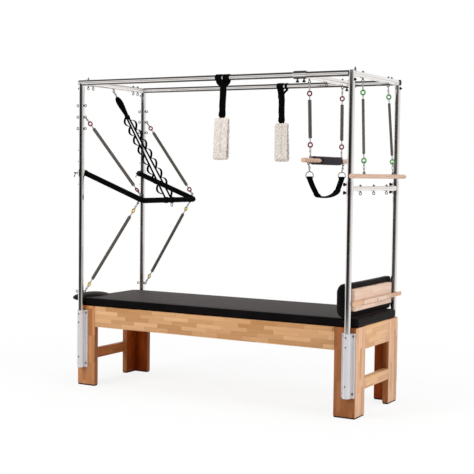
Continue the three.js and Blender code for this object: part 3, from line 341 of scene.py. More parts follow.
chrome = chrome_material()
aluminium = metal_material(
    "satin_aluminium", (0.66, 0.65, 0.675), (0.80, 0.79, 0.81), (0.36, 0.5), (500.0, 500.0, 6.0), 0.5)
spring_steel = metal_material(
    "spring_wire", (0.12, 0.105, 0.095), (0.19, 0.168, 0.152), (0.3, 0.45), (300.0,) * 3, 0.45)
bolt_steel = metal_material(
    "bolt_steel", (0.14, 0.14, 0.145), (0.26, 0.26, 0.27), (0.25, 0.4), (200.0,) * 3)
snap_steel = metal_material(
    "snap_steel", (0.36, 0.355, 0.35), (0.55, 0.545, 0.54), (0.2, 0.35), (200.0,) * 3)

vinyl = vinyl_material()
fleece = fleece_material()
webbing = webbing_material("black_webbing", (0.0012, 0.0012, 0.0015), (0.008, 0.008, 0.0085))
seam_tape = webbing_material("pale_seam_tape", (0.56, 0.54, 0.52), (0.68, 0.665, 0.65))
black_plastic = matt_material("black_plastic", (0.003,) * 3, (0.008,) * 3, (0.3, 0.5), 400.0, 0.1)
rubber = matt_material("black_rubber", (0.008,) * 3, (0.02,) * 3, (0.7, 0.9), 300.0, 0.2)
foam_black = matt_material("black_foam", (0.001,) * 3, (0.0032, 0.003, 0.003), (0.75, 0.95), 260.0, 0.3, 0.05)
grip_cover = matt_material(
    "soft_grip_cover", (0.013, 0.0105, 0.0165), (0.027, 0.022, 0.033), (0.5, 0.7), 120.0, 0.2, 0.14)
enamel = {
    colour: matt_material(f"{colour}_ring", dark, light, (0.25, 0.4), 200.0, 0.05)
    for colour, dark, light in (
        ("red", (0.13, 0.004, 0.012), (0.19, 0.008, 0.02)),
        ("yellow", (0.50, 0.34, 0.05), (0.62, 0.44, 0.08)),
        ("green", (0.045, 0.26, 0.035), (0.07, 0.34, 0.05)),
    )
}


# Forms. A Form gathers vertices and faces in millimetres and becomes one mesh object.
SMOOTH_BELOW = math.radians(38)
COIL_PITCH, COIL_LEAD, COIL_STEPS = 2.08, 8.0, 12


def unit(v):
    return v.normalized()


def square_to(direction):
    helper = Z if abs(direction.dot(Z)) < 0.9 else X
    return unit(helper.cross(direction))


def around(steps):
    """The angles of one full turn."""
    return [2 * math.pi * k / steps for k in range(steps)]


def circle(radius, sides):
    return [(radius * math.cos(t), radius * math.sin(t)) for t in around(sides)]


def slab(width, thick, edge=0.3):
    """The outline of a strap, with its corners cut."""
    w, t, c = width / 2, thick / 2, thick * edge
    half = [(w, -t + c), (w, t - c), (w - c, t), (-w + c, t)]
    return half + [(-u, -v) for u, v in half]


def between(a, b, count):
    """Points from a up to b, without b."""
    return [tuple(p + (q - p) * k / count for p, q in zip(a, b)) for k in range(count)]


def smooth_path(points, steps=8):
    """A smooth line through the points."""
    padded = [points[0] * 2 - points[1], *points, points[-1] * 2 - points[-2]]
    line = []
    for a, b, c, d in zip(padded, padded[1:], padded[2:], padded[3:]):
        for t in (k / steps for k in range(steps)):
            curve = (2 * a - 5 * b + 4 * c - d) * t ** 2 + (3 * b - a - 3 * c + d) * t ** 3
            line.append(0.5 * (2 * b + (c - a) * t + curve))
    line.append(points[-1])
    return line


def row_point(point):
    """A point of the table's frame in the row's frame, in metres."""
    return ((point.x + SHIFT) * MM, point.y * MM, point.z * MM)


def soften(build):
    """Shades the edges below a limit as smooth and the others as sharp."""
    for edge in build.edges:
        edge.smooth = len(edge.link_faces) == 2 and edge.calc_face_angle(0.0) < SMOOTH_BELOW


def subdivide(piece, levels):
    modifier = piece.modifiers.new("subdivide", "SUBSURF")
    modifier.levels = modifier.render_levels = levels


def dress(node, material):
    """Gives a material to a CAD piece that is shown as it is."""
    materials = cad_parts[node].data.materials
    materials.clear()
    materials.append(material)


class Form:
    def __init__(self):
        self.verts = []
        self.faces = []

    def add(self, verts, faces):
        start = len(self.verts)
        self.verts.extend(verts)
        self.faces.extend([start + i for i in face] for face in faces)
        return self

    def loft(self, rings, closed=False, caps=True):
        count = len(rings[0])
        last = (len(rings) - 1) * count
        faces = []
        for r in range(len(rings) if closed else len(rings) - 1):
            a, b = r * count, ((r + 1) % len(rings)) * count
            for k in range(count):
                n = (k + 1) % count
                faces.append((a + k, a + n, b + n, b + k))
        if caps and not closed:
            faces.append(tuple(reversed(range(count))))
            faces.append(tuple(range(last, last + count)))
        return self.add([v for ring in rings for v in ring], faces)

    def sweep(self, points, outline, side=None, closed=False, scales=None):
        """The outline, in (side, other) pairs, carried along the points without twist."""
        count = len(points)
        normal = None
        rings = []
        for k, p in enumerate(points):
            before = points[(k - 1) % count] if closed else points[max(k - 1, 0)]
            after = points[(k + 1) % count] if closed else points[min(k + 1, count - 1)]
            along = unit(after - before)
            normal = side or normal or square_to(along)
            normal = unit(normal - along * normal.dot(along))
            other = along.cross(normal)
            scale = scales[k] if scales else 1.0
            rings.append([p + normal * (u * scale) + other * (v * scale) for u, v in outline])
        return self.loft(rings, closed)

    def rod(self, a, b, radius, sides=32):
        return self.sweep([a, b], circle(radius, sides))

    def lathe(self, origin, axis, profile, sides=24, closed=False):
        axis = unit(axis)
        side = square_to(axis)
        other = axis.cross(side)
        rings = [
            [origin + axis * h + (side * c + other * s) * r for c, s in circle(1.0, sides)]
            for r, h in profile
        ]
        return self.loft(rings, closed)

    def pipe(self, a, b):
        """A steel tube with open ends."""
        length = (b - a).length
        return self.lathe(a, b - a, [(BORE, 0), (TUBE, 0), (TUBE, length), (BORE, length)], 32, closed=True)

    def ring(self, centre, first, normal, radius, wire, steps=24, sides=8, stretch=1.0):
        """A closed ring of wire. Its long way follows `first` when it is stretched."""
        first, normal = unit(first), unit(normal)
        other = normal.cross(first)
        points = [
            centre + first * (radius * stretch * math.cos(t)) + other * (radius * math.sin(t))
            for t in around(steps)
        ]
        return self.sweep(points, circle(wire, sides), side=normal, closed=True)

    def block(self, a, b, bevel):
        """A box between two opposite corners, with eased edges."""
        spans = [sorted(pair) for pair in zip(a, b)]
        box = bmesh.new()
        bmesh.ops.create_cube(box, size=1.0)
        for v in box.verts:
            v.co = [(low + high) / 2 + share * (high - low) for (low, high), share in zip(spans, v.co)]
        bmesh.ops.bevel(box, geom=box.edges[:], offset=bevel, segments=2, profile=0.5, affect="EDGES")
        box.verts.index_update()
        self.add([v.co.copy() for v in box.verts], [[v.index for v in f.verts] for f in box.faces])
        box.free()
        return self

    def eye(self, on_axis, out, radius, centre_at, ring=EYE_RING):
        """An eye bolt whose hole looks along Y, with a washer and a nut on the bar that carries it."""
        centre = on_axis + out * centre_at
        self.ring(centre, out, Y, ring, EYE_WIRE, 28, 10)
        self.rod(on_axis + out * (radius - 1.5), centre - out * (ring - EYE_WIRE * 0.4), EYE_WIRE, 12)
        return self.lathe(on_axis + out * (radius - 3), out, EYE_NUT, 16)

    def knob(self, seat, out):
        """A fluted clamp knob."""
        side = square_to(out)
        other = out.cross(side)
        return self.loft([
            [
                seat + out * height
                + (side * math.cos(t) + other * math.sin(t)) * radius * (1 + flute * math.cos(8 * t))
                for t in around(48)
            ]
            for radius, height, flute in KNOB
        ])

    def coil(self, a, b, radius, wire):
        """A close coil between two points, with a short straight lead at each end."""
        along = unit(b - a)
        side = square_to(along)
        other = along.cross(side)
        length = (b - a).length - 2 * COIL_LEAD
        total = int(length / (wire * COIL_PITCH)) * COIL_STEPS
        points = [a, a + along * (COIL_LEAD * 0.5)]
        for s in range(total + 1):
            fade = min(1.0, s / COIL_STEPS, (total - s) / COIL_STEPS)
            angle = 2 * math.pi * s / COIL_STEPS
            out = (side * math.cos(angle) + other * math.sin(angle)) * (radius * math.sin(fade * math.pi / 2))
            points.append(a + along * (COIL_LEAD + length * s / total) + out)
        points += [b - along * (COIL_LEAD * 0.5), b]
        return self.sweep(points, circle(wire, 6))

    def make(self, name, material, body, slot, replaces=None):
        mesh = bpy.data.meshes.new(name)
        mesh.from_pydata([row_point(v) for v in self.verts], [], self.faces)
        build = bmesh.new()
        build.from_mesh(mesh)
        bmesh.ops.remove_doubles(build, verts=build.verts, dist=1e-6)
        bmesh.ops.recalc_face_normals(build, faces=build.faces)
        soften(build)
        for face in build.faces:
            face.smooth = True
        build.to_mesh(mesh)
        build.free()
        piece = bpy.data.objects.new(name, mesh)
        scene.collection.objects.link(piece)
        mesh.materials.append(material)
        if body:
            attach(piece, body)
        if replaces:
            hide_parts(replaces)
        return piece


def collar(bore, shoulder, radius, length, ease=1.0):
    """The profile of a sleeve on a tube."""
    half = [(bore, 0), (shoulder, 0), (radius, ease)]
    return half + [(r, length - h) for r, h in reversed(half)]


# Profiles of small turned parts, in (radius, height) pairs. The knob's have the depth of its flutes as well.
SET_SCREW = [(0, 0), (5.4, 0), (5.4, 1.4), (4.8, 1.9), (2.9, 1.9), (2.9, 0.6), (0, 0.6)]
SCREW_HEAD = [(0, -1), (8.0, -1), (8.0, 1.0), (6.4, 1.4), (6.0, 3.4), (4.4, 4.8), (0, 5.4)]
NUB = [(0, 0), (6.0, 0), (6.0, 3.5), (4.6, 4.5), (4.6, 7.5), (2.0, 10.0), (0, 10.4)]
POST_HEAD = [(0, 0), (9.0, 0), (9.0, 4.0), (7.0, 6.0), (4.0, 12.0), (0, 12.6)]
PLUG = [(0, -6), (17.0, -6), (17.0, 0), (18.7, 0), (18.7, 1.0), (17.4, 2.2), (0, 2.8)]
EYE_NUT = [(0, 0), (6.4, 0), (6.4, 3.2), (5.0, 3.6), (5.0, 6.4), (0, 6.4)]
DOME_NUT = [(0, -2), (8.2, -2), (8.2, 1.0), (6.6, 1.0), (6.6, 5.0), (5.28, 7.0), (2.64, 8.4), (0, 8.8)]
KNOB_NUT = [(0, 0), (7.2, 0), (7.2, 2.6), (4.0, 3.0), (4.0, 7.0), (0, 7.0)]
KNOB = [
    (5.5, 4.4, 0.0), (6.1, 6.0, 0.0), (8.58, 11.0, 0.07), (10.2, 16.0, 0.07), (11.0, 17.6, 0.07),
    (11.0, 19.4, 0.07), (9.8, 20.0, 0.07),
]
GATE = [(0, 0), (3.4, 0.6), (3.9, 2.0), (3.9, 10.0), (3.4, 11.4), (0, 12)]
STRAP_GATE = [(0, 0), (3.6, 0.6), (4.2, 2.0), (4.2, 11.0), (3.6, 12.4), (0, 13)]
STRAP_SWIVEL = [(0, 0), (4.6, 0), (5.4, 3.0), (5.4, 9.0), (4.4, 12.0), (0, 12)]
RAIL_COLLAR = [(19.2, 0), (22.0, 0.8), (22.0, 13.2), (19.2, 14.0)]
SLIDE_COLLAR = collar(19.3, 25.0, 26.0, 89, 1.2)
LOW_COLLAR = collar(19.3, 20.7, 21.5, 84)
PIVOT_COLLAR = collar(19.3, 22.6, 23.5, 50)
PIVOT_CAP = [(0, 0), (9.4, 0), (10.0, 0.8), (10.0, 3.0), (7.6, 5.0), (0, 5.6)]
HUB = [(6.3, 0), (15.0, 0), (19.0, 2.0), (21.0, 6.5), (21.0, 21.5), (19.0, 26.0), (15.0, 28), (6.3, 28)]
PIN_HOUSING = [(3.6, 0), (9.0, 0), (9.0, 15.5), (8.2, 16.5), (3.6, 16.5)]
PIN_NECK = [(0, 0), (5.4, 0), (5.4, 3), (4.4, 4), (4.4, 9), (0, 9)]
LEVER_TIP = [(0, 0), (3.4, 0.4), (3.8, 2.0), (3.8, 8.0), (2.6, 10.0), (0, 10.4)]
CHANNEL_BOLT = [(0, 0), (6.5, 0), (6.5, 1), (4.6, 2.4), (0, 3.0)]


# The wooden table: every board is a piece of its own. Those between the legs stop FIT short of them.
BOARD, FIT = 40.0, 0.3
APRON_LOW, LEG_LOW = 416.0, 8.3
BRACE_LOW, BRACE_HIGH = 167.0, 235.0
LEG_SIDE, LEG_END = 145.0, 150.0


def add_board(name, a, b, bevel, wood, replaces=None):
    return Form().block(a, b, bevel).make(f"{name}_board", wood, "frame", "wood", replaces)


def face_woods(piece, sx, sy, *woods):
    """Gives a leg board's faces their woods by the way they face: outer end, inner end, outer side and the
    rest. Apart from the outer side's wood, these are a pale copy as painted light and darker copies as
    painted shade.
    """
    piece.data.materials.clear()
    for wood in woods:
        piece.data.materials.append(wood)
    for polygon in piece.data.polygons:
        x, y, _ = polygon.normal
        fits = (x * sx > 0.7, abs(x) > 0.7, y * sy > 0, True)
        polygon.material_index = min(fits.index(True), len(woods) - 1)


def add_leg(corner, sx, sy):
    x, y = sx * HALF_X, sy * HALF_Y
    inner_x, inner_y = sx * (HALF_X - BOARD), sy * (HALF_Y - BOARD)
    wide_to, deep_to = at(sx * (HALF_X - LEG_SIDE), inner_y, TOP), at(inner_x, sy * (HALF_Y - LEG_END), TOP)
    # The front right leg's outer face takes the darker copy, as painted shade from its post and bracket.
    outer_wood = wood_leg_painted_shade if corner == "front_right" else wood_leg_left
    wide = add_board(f"leg_{corner}_wide", at(x, y, LEG_LOW), wide_to, 2.5, wood_end_painted_light, f"leg_{corner}")
    face_woods(wide, sx, sy, wood_end_painted_light, wood_leg_painted_shade, outer_wood, wood_inner_painted_shade)
    deep = add_board(f"leg_{corner}_end", at(x, inner_y, LEG_LOW), deep_to, 2.5, wood_end_painted_light)
    face_woods(deep, sx, sy, wood_end_painted_light, wood_inner_painted_shade, wood_leg_painted_shade)
    dress(f"foot_pad_{corner}", rubber)


def add_table():
    for side, sy in SIDES:
        name, reach = f"apron_{side}", HALF_X - LEG_SIDE - FIT
        low, high = at(-reach, sy * (HALF_Y - BOARD), APRON_LOW), at(reach, sy * HALF_Y, TOP)
        add_board(name, low, high, 2.0, wood_apron, name)
    for end, sx in ENDS:
        for name, low, high, wood in (
            (f"end_rail_{end}", APRON_LOW, TOP, wood_rail),
            (f"end_brace_{end}", BRACE_LOW, BRACE_HIGH, wood_brace_painted_shade if sx < 0 else wood_rail),
        ):
            reach = HALF_Y - LEG_END - FIT
            inner, outer = at(sx * (HALF_X - BOARD), -reach, low), at(sx * HALF_X, reach, high)
            add_board(name, inner, outer, 2.0, wood, name)
        for side, sy in SIDES:
            add_leg(f"{side}_{end}", sx, sy)
    dress("deck_board", pale_deck)


# The aluminium brackets, each one extrusion with its screws.
WALL = HALF_Y + FIT
PLATE, RIB, HALF_WIDTH, NECK = 8.0, 10.6, 43.0, 27.0
SLEEVE, RIDGE, RIDGE_STEPS = 24.0, 0.45, 64
BRACKET_ENDS = (131.0, 528.0)
PLATE_SCREWS, SET_SCREWS = (511.0, 157.0), (505.0, 446.0, 206.0)


def bracket_outline(sy):
    """The extrusion's outline seen from above, from the wall outwards: a plate, ribs and a ridged sleeve."""
    edge = [(HALF_WIDTH, 0), (HALF_WIDTH, RIB), (HALF_WIDTH - 5, RIB), (HALF_WIDTH - 6, PLATE), (NECK, PLATE)]
    outline = [(-u, WALL + v) for u, v in edge]
    for k in range(RIDGE_STEPS + 1):
        angle = math.radians(218) - math.radians(256) * k / RIDGE_STEPS
        grooved = k % 4 in (1, 2) and abs(k - RIDGE_STEPS / 2) > 6
        radius = SLEEVE - RIDGE * grooved
        outline.append((radius * math.cos(angle), POST_Y + radius * math.sin(angle)))
    outline += [(u, WALL + v) for u, v in reversed(edge)]
    return [(x, sy * y) for x, y in outline]


def cap_bracket_ends(piece):
    """Closes the ring-shaped ends between the bracket's outline and its bore."""
    build = bmesh.new()
    build.from_mesh(piece.data)
    open_edges = [e for e in build.edges if len(e.link_faces) == 1]
    for z in sorted({round(e.verts[0].co.z, 4) for e in open_edges}):
        edges = [e for e in open_edges if abs(e.verts[0].co.z - z) < 1e-4]
        made = bmesh.ops.triangle_fill(build, edges=edges, use_beauty=True)
        for face in made["geom"]:
            if isinstance(face, bmesh.types.BMFace):
                face.smooth = False
    soften(build)
    bmesh.ops.recalc_face_normals(build, faces=build.faces)
    build.to_mesh(piece.data)
    build.free()


def add_brackets():
    for end, sx in ENDS:
        for side, sy in SIDES:
            x, name = sx * POST_X, f"bracket_{side}_{end}"
            bore = [(u, sy * POST_Y + v) for u, v in circle(TUBE + 0.3, 40)]
            form, screws = Form(), Form()
            for outline in (bracket_outline(sy), bore):
                form.loft([[at(x + u, y, z) for u, y in outline] for z in BRACKET_ENDS], caps=False)
            cap_bracket_ends(form.make(f"{name}_profile", aluminium, "frame", "aluminium", name))
            for z in PLATE_SCREWS:
                for u in (-31.0, 31.0):
                    screws.lathe(at(x + u, sy * (WALL + PLATE), z), Y * sy, SCREW_HEAD, 20)
            for z in SET_SCREWS:
                screws.lathe(at(x, sy * (POST_Y + SLEEVE - 0.6), z), Y * sy, SET_SCREW, 20)
            screws.make(f"{name}_screws", bolt_steel, "frame", "aluminium")


# The posts and the top frame. The front right post alone stands as high as the rails' tops.
UPPER_EYE, LOWER_EYE = 1865.5, 659.0
LEFT_EYES = (1944.0, UPPER_EYE, 1787.0, LOWER_EYE)
NUBS = (1638.0, 1560.0, 1403.0)
POST_LOW, POST_HEAD_AT = 140.0, 2062.0
CROSS_RAILS = (
    ("left", -1, (-300, -244, 0, 244, 300), (-300, -244, 0, 244, 300)),
    ("right", 1, (-208, 208), (-327, -208, 208, 266)),
)


def add_posts():
    plugs, heads, fittings = Form(), Form(), Form()
    for end, sx in ENDS:
        for side, sy in SIDES:
            x, y, top = sx * POST_X, sy * POST_Y, RAIL_Z
            if (side, end) == ("front", "right"):
                top += TUBE
                plugs.lathe(at(x, y, top - 1.5), Z, PLUG, 32)
            else:
                plugs.lathe(at(x + sx * (TUBE - 1), y, RAIL_Z), X * sx, PLUG, 32)
            if end == "left":
                for z in LEFT_EYES:
                    fittings.eye(at(x, y, z), X, TUBE, EYE_AT)
                    fittings.eye(at(x, y, z), -X, TUBE, EYE_AT)
                for z in NUBS:
                    fittings.lathe(at(x - TUBE + 1, y, z), -X, NUB, 16)
            tube = Form().pipe(at(x, y, POST_LOW), at(x, y, top))
            tube.make(f"post_{side}_{end}_tube", chrome, "frame", "chrome", f"upright_{side}_{end}")
            heads.lathe(at(x + sx * (TUBE - 1), y, POST_HEAD_AT), X * sx, POST_HEAD, 20)
    fittings.make("post_eyes", bolt_steel, "frame", "chrome")
    plugs.make("tube_end_plugs", black_plastic, "frame", "black_plastic")
    heads.make("post_screw_heads", black_plastic, "frame", "black_plastic")


def add_top_frame():
    past = POST_X + TUBE
    front = Form().pipe(at(-past, -POST_Y, RAIL_Z), at(POST_X - TUBE + 2, -POST_Y, RAIL_Z))
    front.lathe(at(-972, -POST_Y, RAIL_Z), X, RAIL_COLLAR, 32, closed=True)
    front.make("long_rail_front", chrome, "frame", "chrome", "top_rail_front")
    back = Form().pipe(at(-past, POST_Y, RAIL_Z), at(past, POST_Y, RAIL_Z))
    back.make("long_rail_back", chrome, "frame", "chrome", "top_rail_back")
    fittings = Form()
    for end, sx, eyes, nuts in CROSS_RAILS:
        middle = at(sx * POST_X, 0, RAIL_Z)
        rail = Form().rod(middle - Y * (POST_Y - 4), middle + Y * (POST_Y - 4), TUBE)
        rail.make(f"cross_rail_{end}", chrome, "frame", "chrome", f"top_rail_{end}")
        for y in eyes:
            fittings.eye(middle + Y * y, -Z, TUBE, EYE_AT)
        for y in nuts:
            fittings.lathe(middle + Y * y + Z * TUBE, Z, DOME_NUT, 16)
        seat = middle + Y * nuts[0] + Z * TUBE
        fittings.rod(seat, seat + Z * 24, 3.4, 14)
        fittings.lathe(seat + Z * 8, Z, DOME_NUT, 16)
    fittings.make("rail_eyes", bolt_steel, "frame", "chrome")


# Springs. Each has a coloured ring and a snap or a chain at its ends and runs between two eyes.
# Most rings are turned about the spring's line by the same angle, and one shows its edge.
RING_RADIUS, RING_WIRE, RING_STRETCH = 12.6, 4.7, 1.15
RING_REACH = RING_RADIUS * RING_STRETCH
SNAP_RADIUS, SNAP_WIRE, LINK_RADIUS = 7.4, 2.3, 5.6
HOOK_RADIUS, HOOK_WIRE = 5.4, 1.9
TURNED, EDGE_ON = 1.15, 0.1


def bearing(centre, towards, ring):
    return centre + unit(towards - centre) * ring


def add_hook(form, on_axis, out, radius, centre_at, other):
    """A small eye on a bar, and the points where a spring bears on its other eye and on this one."""
    form.eye(on_axis, out, radius, centre_at, SMALL_EYE)
    centre = on_axis + out * centre_at
    return bearing(other, centre, EYE_RING), bearing(centre, other, SMALL_EYE)


def spring_end(shackle, rings, start, along, sense, ring_at, coil_at, turn_by=TURNED, chain=0):
    """One end of a spring, from the eye it hangs on: a snap or a chain, the ring and the spring's hook."""
    def spot(distance):
        return start + along * (sense * distance)

    normal = unit(along.cross(Y))
    across = along.cross(normal)
    near = -(EYE_WIRE + SNAP_WIRE + 0.3)
    far = ring_at - RING_REACH + RING_WIRE + SNAP_WIRE + 0.3
    if chain:
        pitch = (far - near + 2 * SNAP_WIRE) / chain
        stretch = (pitch / 2 + SNAP_WIRE) / LINK_RADIUS
        for k in range(chain):
            middle = spot(near + pitch * (k + 0.5) - SNAP_WIRE)
            shackle.ring(middle, along, (normal, across)[k % 2], LINK_RADIUS, SNAP_WIRE, stretch=stretch)
    else:
        half = (far - near) / 2
        shackle.ring(spot(near + half), along, normal, SNAP_RADIUS, SNAP_WIRE, 28, 8, half / SNAP_RADIUS)
        shackle.lathe(spot(near + half - 6) + across * SNAP_RADIUS, along * sense, GATE, 14)
    turn = normal * math.cos(turn_by) + across * math.sin(turn_by)
    rings.ring(spot(ring_at), along, turn, RING_RADIUS, RING_WIRE, 36, 10, RING_STRETCH)
    hook = ring_at + RING_REACH - RING_WIRE - 2.3
    half = (coil_at - hook) / 2 + 1.5
    shackle.ring(spot(hook + half), along, normal, HOOK_RADIUS, HOOK_WIRE, stretch=half / HOOK_RADIUS)


def add_spring(name, top, foot, ends, coil, colour):
    """A spring between two points where eyes bear on it. `ends` has each end's places of ring and coil."""
    along = unit(foot - top)
    shackle, rings = Form(), Form()
    spring_end(shackle, rings, top, along, 1, *ends[0])
    spring_end(shackle, rings, foot, along, -1, *ends[1])
    wound = Form().coil(top + along * (ends[0][1] - 4), foot - along * (ends[1][1] - 4), *coil)
    for piece in (
        wound.make(f"{name}_coil", spring_steel, None, "spring_steel", name.replace("_", "_spring_", 1)),
        rings.make(f"{name}_rings", enamel[colour], None, "spring_steel"),
        shackle.make(f"{name}_snaps", snap_steel, None, "spring_steel"),
    ):
        row_point(top)
        row_point(foot)
        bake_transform(piece)


# The push-through bar, with its foam, its springs and its two pivots on the left posts.
ARM = unit(at(-POST_X, 0, PIVOT_Z) - at(BAR_X, 0, BAR_Z))
BEND, BEND_STEPS = 28.0, 8
HOOK_AT, BAR_EYE_AT = 30.0, 29.0
HANDLE_PLACES = (-17, -15.5, -10, 0, 10, 15.5, 17)
HANDLE_SCALES = (0.55, 0.85, 1.05, 0.92, 1.05, 0.85, 0.55)


def bar_path(start):
    """The bar's line from its front arm round both corners to its back arm."""
    points = []
    for sy in (-1, 1):
        corner = at(BAR_X, sy * BAR_Y, BAR_Z)
        arm_end, cross_end = corner + ARM * BEND, corner - Y * (sy * BEND)
        arm = [at(-POST_X, sy * BAR_Y, PIVOT_Z) - ARM * start]
        for t in (k / BEND_STEPS for k in range(BEND_STEPS + 1)):
            arm.append(arm_end * (1 - t) ** 2 + corner * (2 * t * (1 - t)) + cross_end * t ** 2)
        points += arm if sy < 0 else reversed(arm)
    return points


def add_push_bar():
    hooks, hubs = Form(), Form()
    for side, sy in SIDES:
        hubs.lathe(at(-POST_X, sy * BAR_Y - 14, PIVOT_Z), Y, HUB, 36, closed=True)
        on_bar = at(BAR_X, sy * BAR_Y, BAR_Z) + ARM * HOOK_AT
        for word, colour, eye_z, sense, ends in (
            ("upper", "red", UPPER_EYE, -1, ((52, 89), (36, 70, EDGE_ON if sy < 0 else TURNED))),
            ("lower", "yellow", LOWER_EYE, 1, ((58, 97), (58, 98))),
        ):
            post_eye = at(-POST_X + EYE_AT, sy * POST_Y, eye_z)
            top, foot = add_hook(hooks, on_bar, ARM.cross(Y) * sense, FOAM, BAR_EYE_AT, post_eye)
            add_spring(f"push_{word}_{side}", top, foot, ends, (9.8, 1.8), colour)
    steel = Form().sweep(bar_path(8), circle(12.5, 24))
    steel.make("push_bar_steel", chrome, "push_bar", "chrome", "push_bar_tube")
    hooks.make("push_bar_eyes", bolt_steel, "push_bar", "chrome")
    hubs.make("push_bar_hubs", black_plastic, "push_bar", "black_plastic")
    foam = Form().sweep(bar_path(15), circle(FOAM, 32))
    foam.make("push_bar_sleeve", foam_black, "push_bar", "foam", "push_bar_foam")
    for side, sy in SIDES:
        add_pivot(side, sy)


def add_pivot(side, sy):
    centre, inward = at(-POST_X, sy * POST_Y, PIVOT_Z), -Y * sy
    body = Form().lathe(centre - Z * 25, Z, PIVOT_COLLAR, 40, closed=True)
    body.lathe(centre - X * 21, -X, PIN_HOUSING, 24, closed=True)
    body.rod(centre + inward * 21, centre + inward * 57, 6.0, 20)
    body.make(f"pivot_{side}_collar", chrome, "frame", "chrome", f"pivot_collar_{side}")
    seat = centre - X * 37.8
    cross = seat - X * 11.5
    lever = unit(at(-0.5, 0, -1))
    handle = Form().rod(seat + X * 20, seat - X, 3.2, 14)
    handle.lathe(seat, -X, PIN_NECK, 18)
    handle.sweep([cross + Y * y for y in HANDLE_PLACES], circle(4.5, 18), scales=HANDLE_SCALES)
    handle.sweep([cross, cross + lever * 12, cross + lever * 22], circle(2.6, 12), scales=(1.0, 0.9, 1.2))
    pin = f"pull_pin_{side}"
    handle.make(f"{pin}_handle", black_plastic, pin, "black_plastic", pin)
    cap = Form().lathe(centre + inward * 56.3, inward, PIVOT_CAP, 24)
    cap.make(f"pivot_{side}_cap", black_plastic, "frame", "chrome")
    tip = Form().lathe(cross + lever * 22, lever, LEVER_TIP, 16)
    tip.make(f"{pin}_tip", bolt_steel, pin, "black_plastic")


# The safety strap: a snap, a rolled end, and two strands of sewn loops, each with a band round the bar.
# The roll's sizes go by the share of its length, and a loop's points by the share of its pitch.
STRAP_SPLIT = at(-890, -6, 1893)
ROLL_SIZES = (
    (0, 0.42), (0.06, 0.66), (0.16, 0.92), (0.3, 1.0), (0.5, 0.86), (0.7, 0.66), (0.85, 0.52), (1.0, 0.42),
)
ROLL_STRANDS = 8
STRAP_LOOPS, LOOP_BOW, LOOP_LIFT = 8, 31.0, 1.8
LOOP_SHARES = (0, 0.06, 0.16, 0.3, 0.45, 0.6, 0.75, 0.88, 0.96, 1.0)
STRAND_BAND = [(FOAM + 0.6, 0), (FOAM + 3.4, 0), (FOAM + 3.4, 25), (FOAM + 0.6, 25)]


def add_strand(strap, y, sense, phase):
    """One strand from the split to the bar. Its loops stand out to the side that sense gives."""
    bar = at(BAR_X, y, BAR_Z)
    parting = STRAP_SPLIT + Y * (14 * sense)
    direction = unit(bar - parting)
    facing = unit(direction.cross(Y)) * sense
    end = bar - direction * (FOAM + 3.2)
    strap.sweep([parting, end], slab(21, 4.0), side=Y)
    pitch = (end - parting).length / (STRAP_LOOPS + 0.5)
    for k in range(STRAP_LOOPS):
        start = parting + direction * (pitch * (k + phase))
        strap.sweep([
            start + direction * (pitch * t)
            + facing * (LOOP_LIFT + LOOP_BOW * math.sin(math.pi * t ** 0.85) ** 0.8)
            for t in LOOP_SHARES
        ], slab(24, 3.2), side=Y)
    strap.lathe(bar - Y * 12.5, Y, STRAND_BAND, 32, closed=True)


def add_roll(strap, top, foot, lean):
    """The strap's rolled end: strands round a core that swell and narrow with it."""
    line = [top.lerp(foot, share) for share, _ in ROLL_SIZES]
    for angle in around(ROLL_STRANDS):
        shift = lean * (17.5 * math.cos(angle)) + Y * (14 * math.sin(angle))
        points = [p + shift * size for p, (_, size) in zip(line, ROLL_SIZES)]
        side = Y + lean * (0.5 * math.sin(angle * 2))
        strap.sweep(points, slab(17, 3.4), side=side, scales=[0.5 + 0.5 * size for _, size in ROLL_SIZES])
    core = [(15 * u, 17 * v) for u, v in circle(1.0, 20)]
    strap.sweep(line, core, side=Y, scales=[size for _, size in ROLL_SIZES])


def add_safety_strap():
    top = bearing(at(-POST_X, 0, RAIL_Z - EYE_AT), STRAP_SPLIT, EYE_RING)
    along = unit(STRAP_SPLIT - top)
    lean = unit(along.cross(Y))
    snap = Form().ring(top + along * 14.5, along, lean, 8.0, 2.4, 28, 10, 2.5)
    snap.lathe(top + along * 8 + Y * 8, along, STRAP_GATE, 14)
    snap.lathe(top + along * 33, along, STRAP_SWIVEL, 16)
    strap = Form()
    add_roll(strap, top + along * 44, STRAP_SPLIT + along * 16, lean)
    band = [STRAP_SPLIT + along * reach for reach in (-12, 0, 18, 30)]
    strap.sweep(band, slab(46, 18), side=Y, scales=(0.5, 1.0, 1.0, 0.7))
    add_strand(strap, -42.0, -1, 0.15)
    add_strand(strap, 31.0, 1, 0.5)
    strap.ring(at(BAR_X, 31, BAR_Z - FOAM - 15), Z, Y, 8.0, 2.4, 28, 8, 1.5)
    foot = at(BAR_X, -6, BAR_Z)
    for piece in (
        strap.make("safety_strap_webbing", webbing, None, "webbing", "safety_strap"),
        snap.make("safety_strap_snap", snap_steel, None, "webbing"),
    ):
        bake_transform(piece)


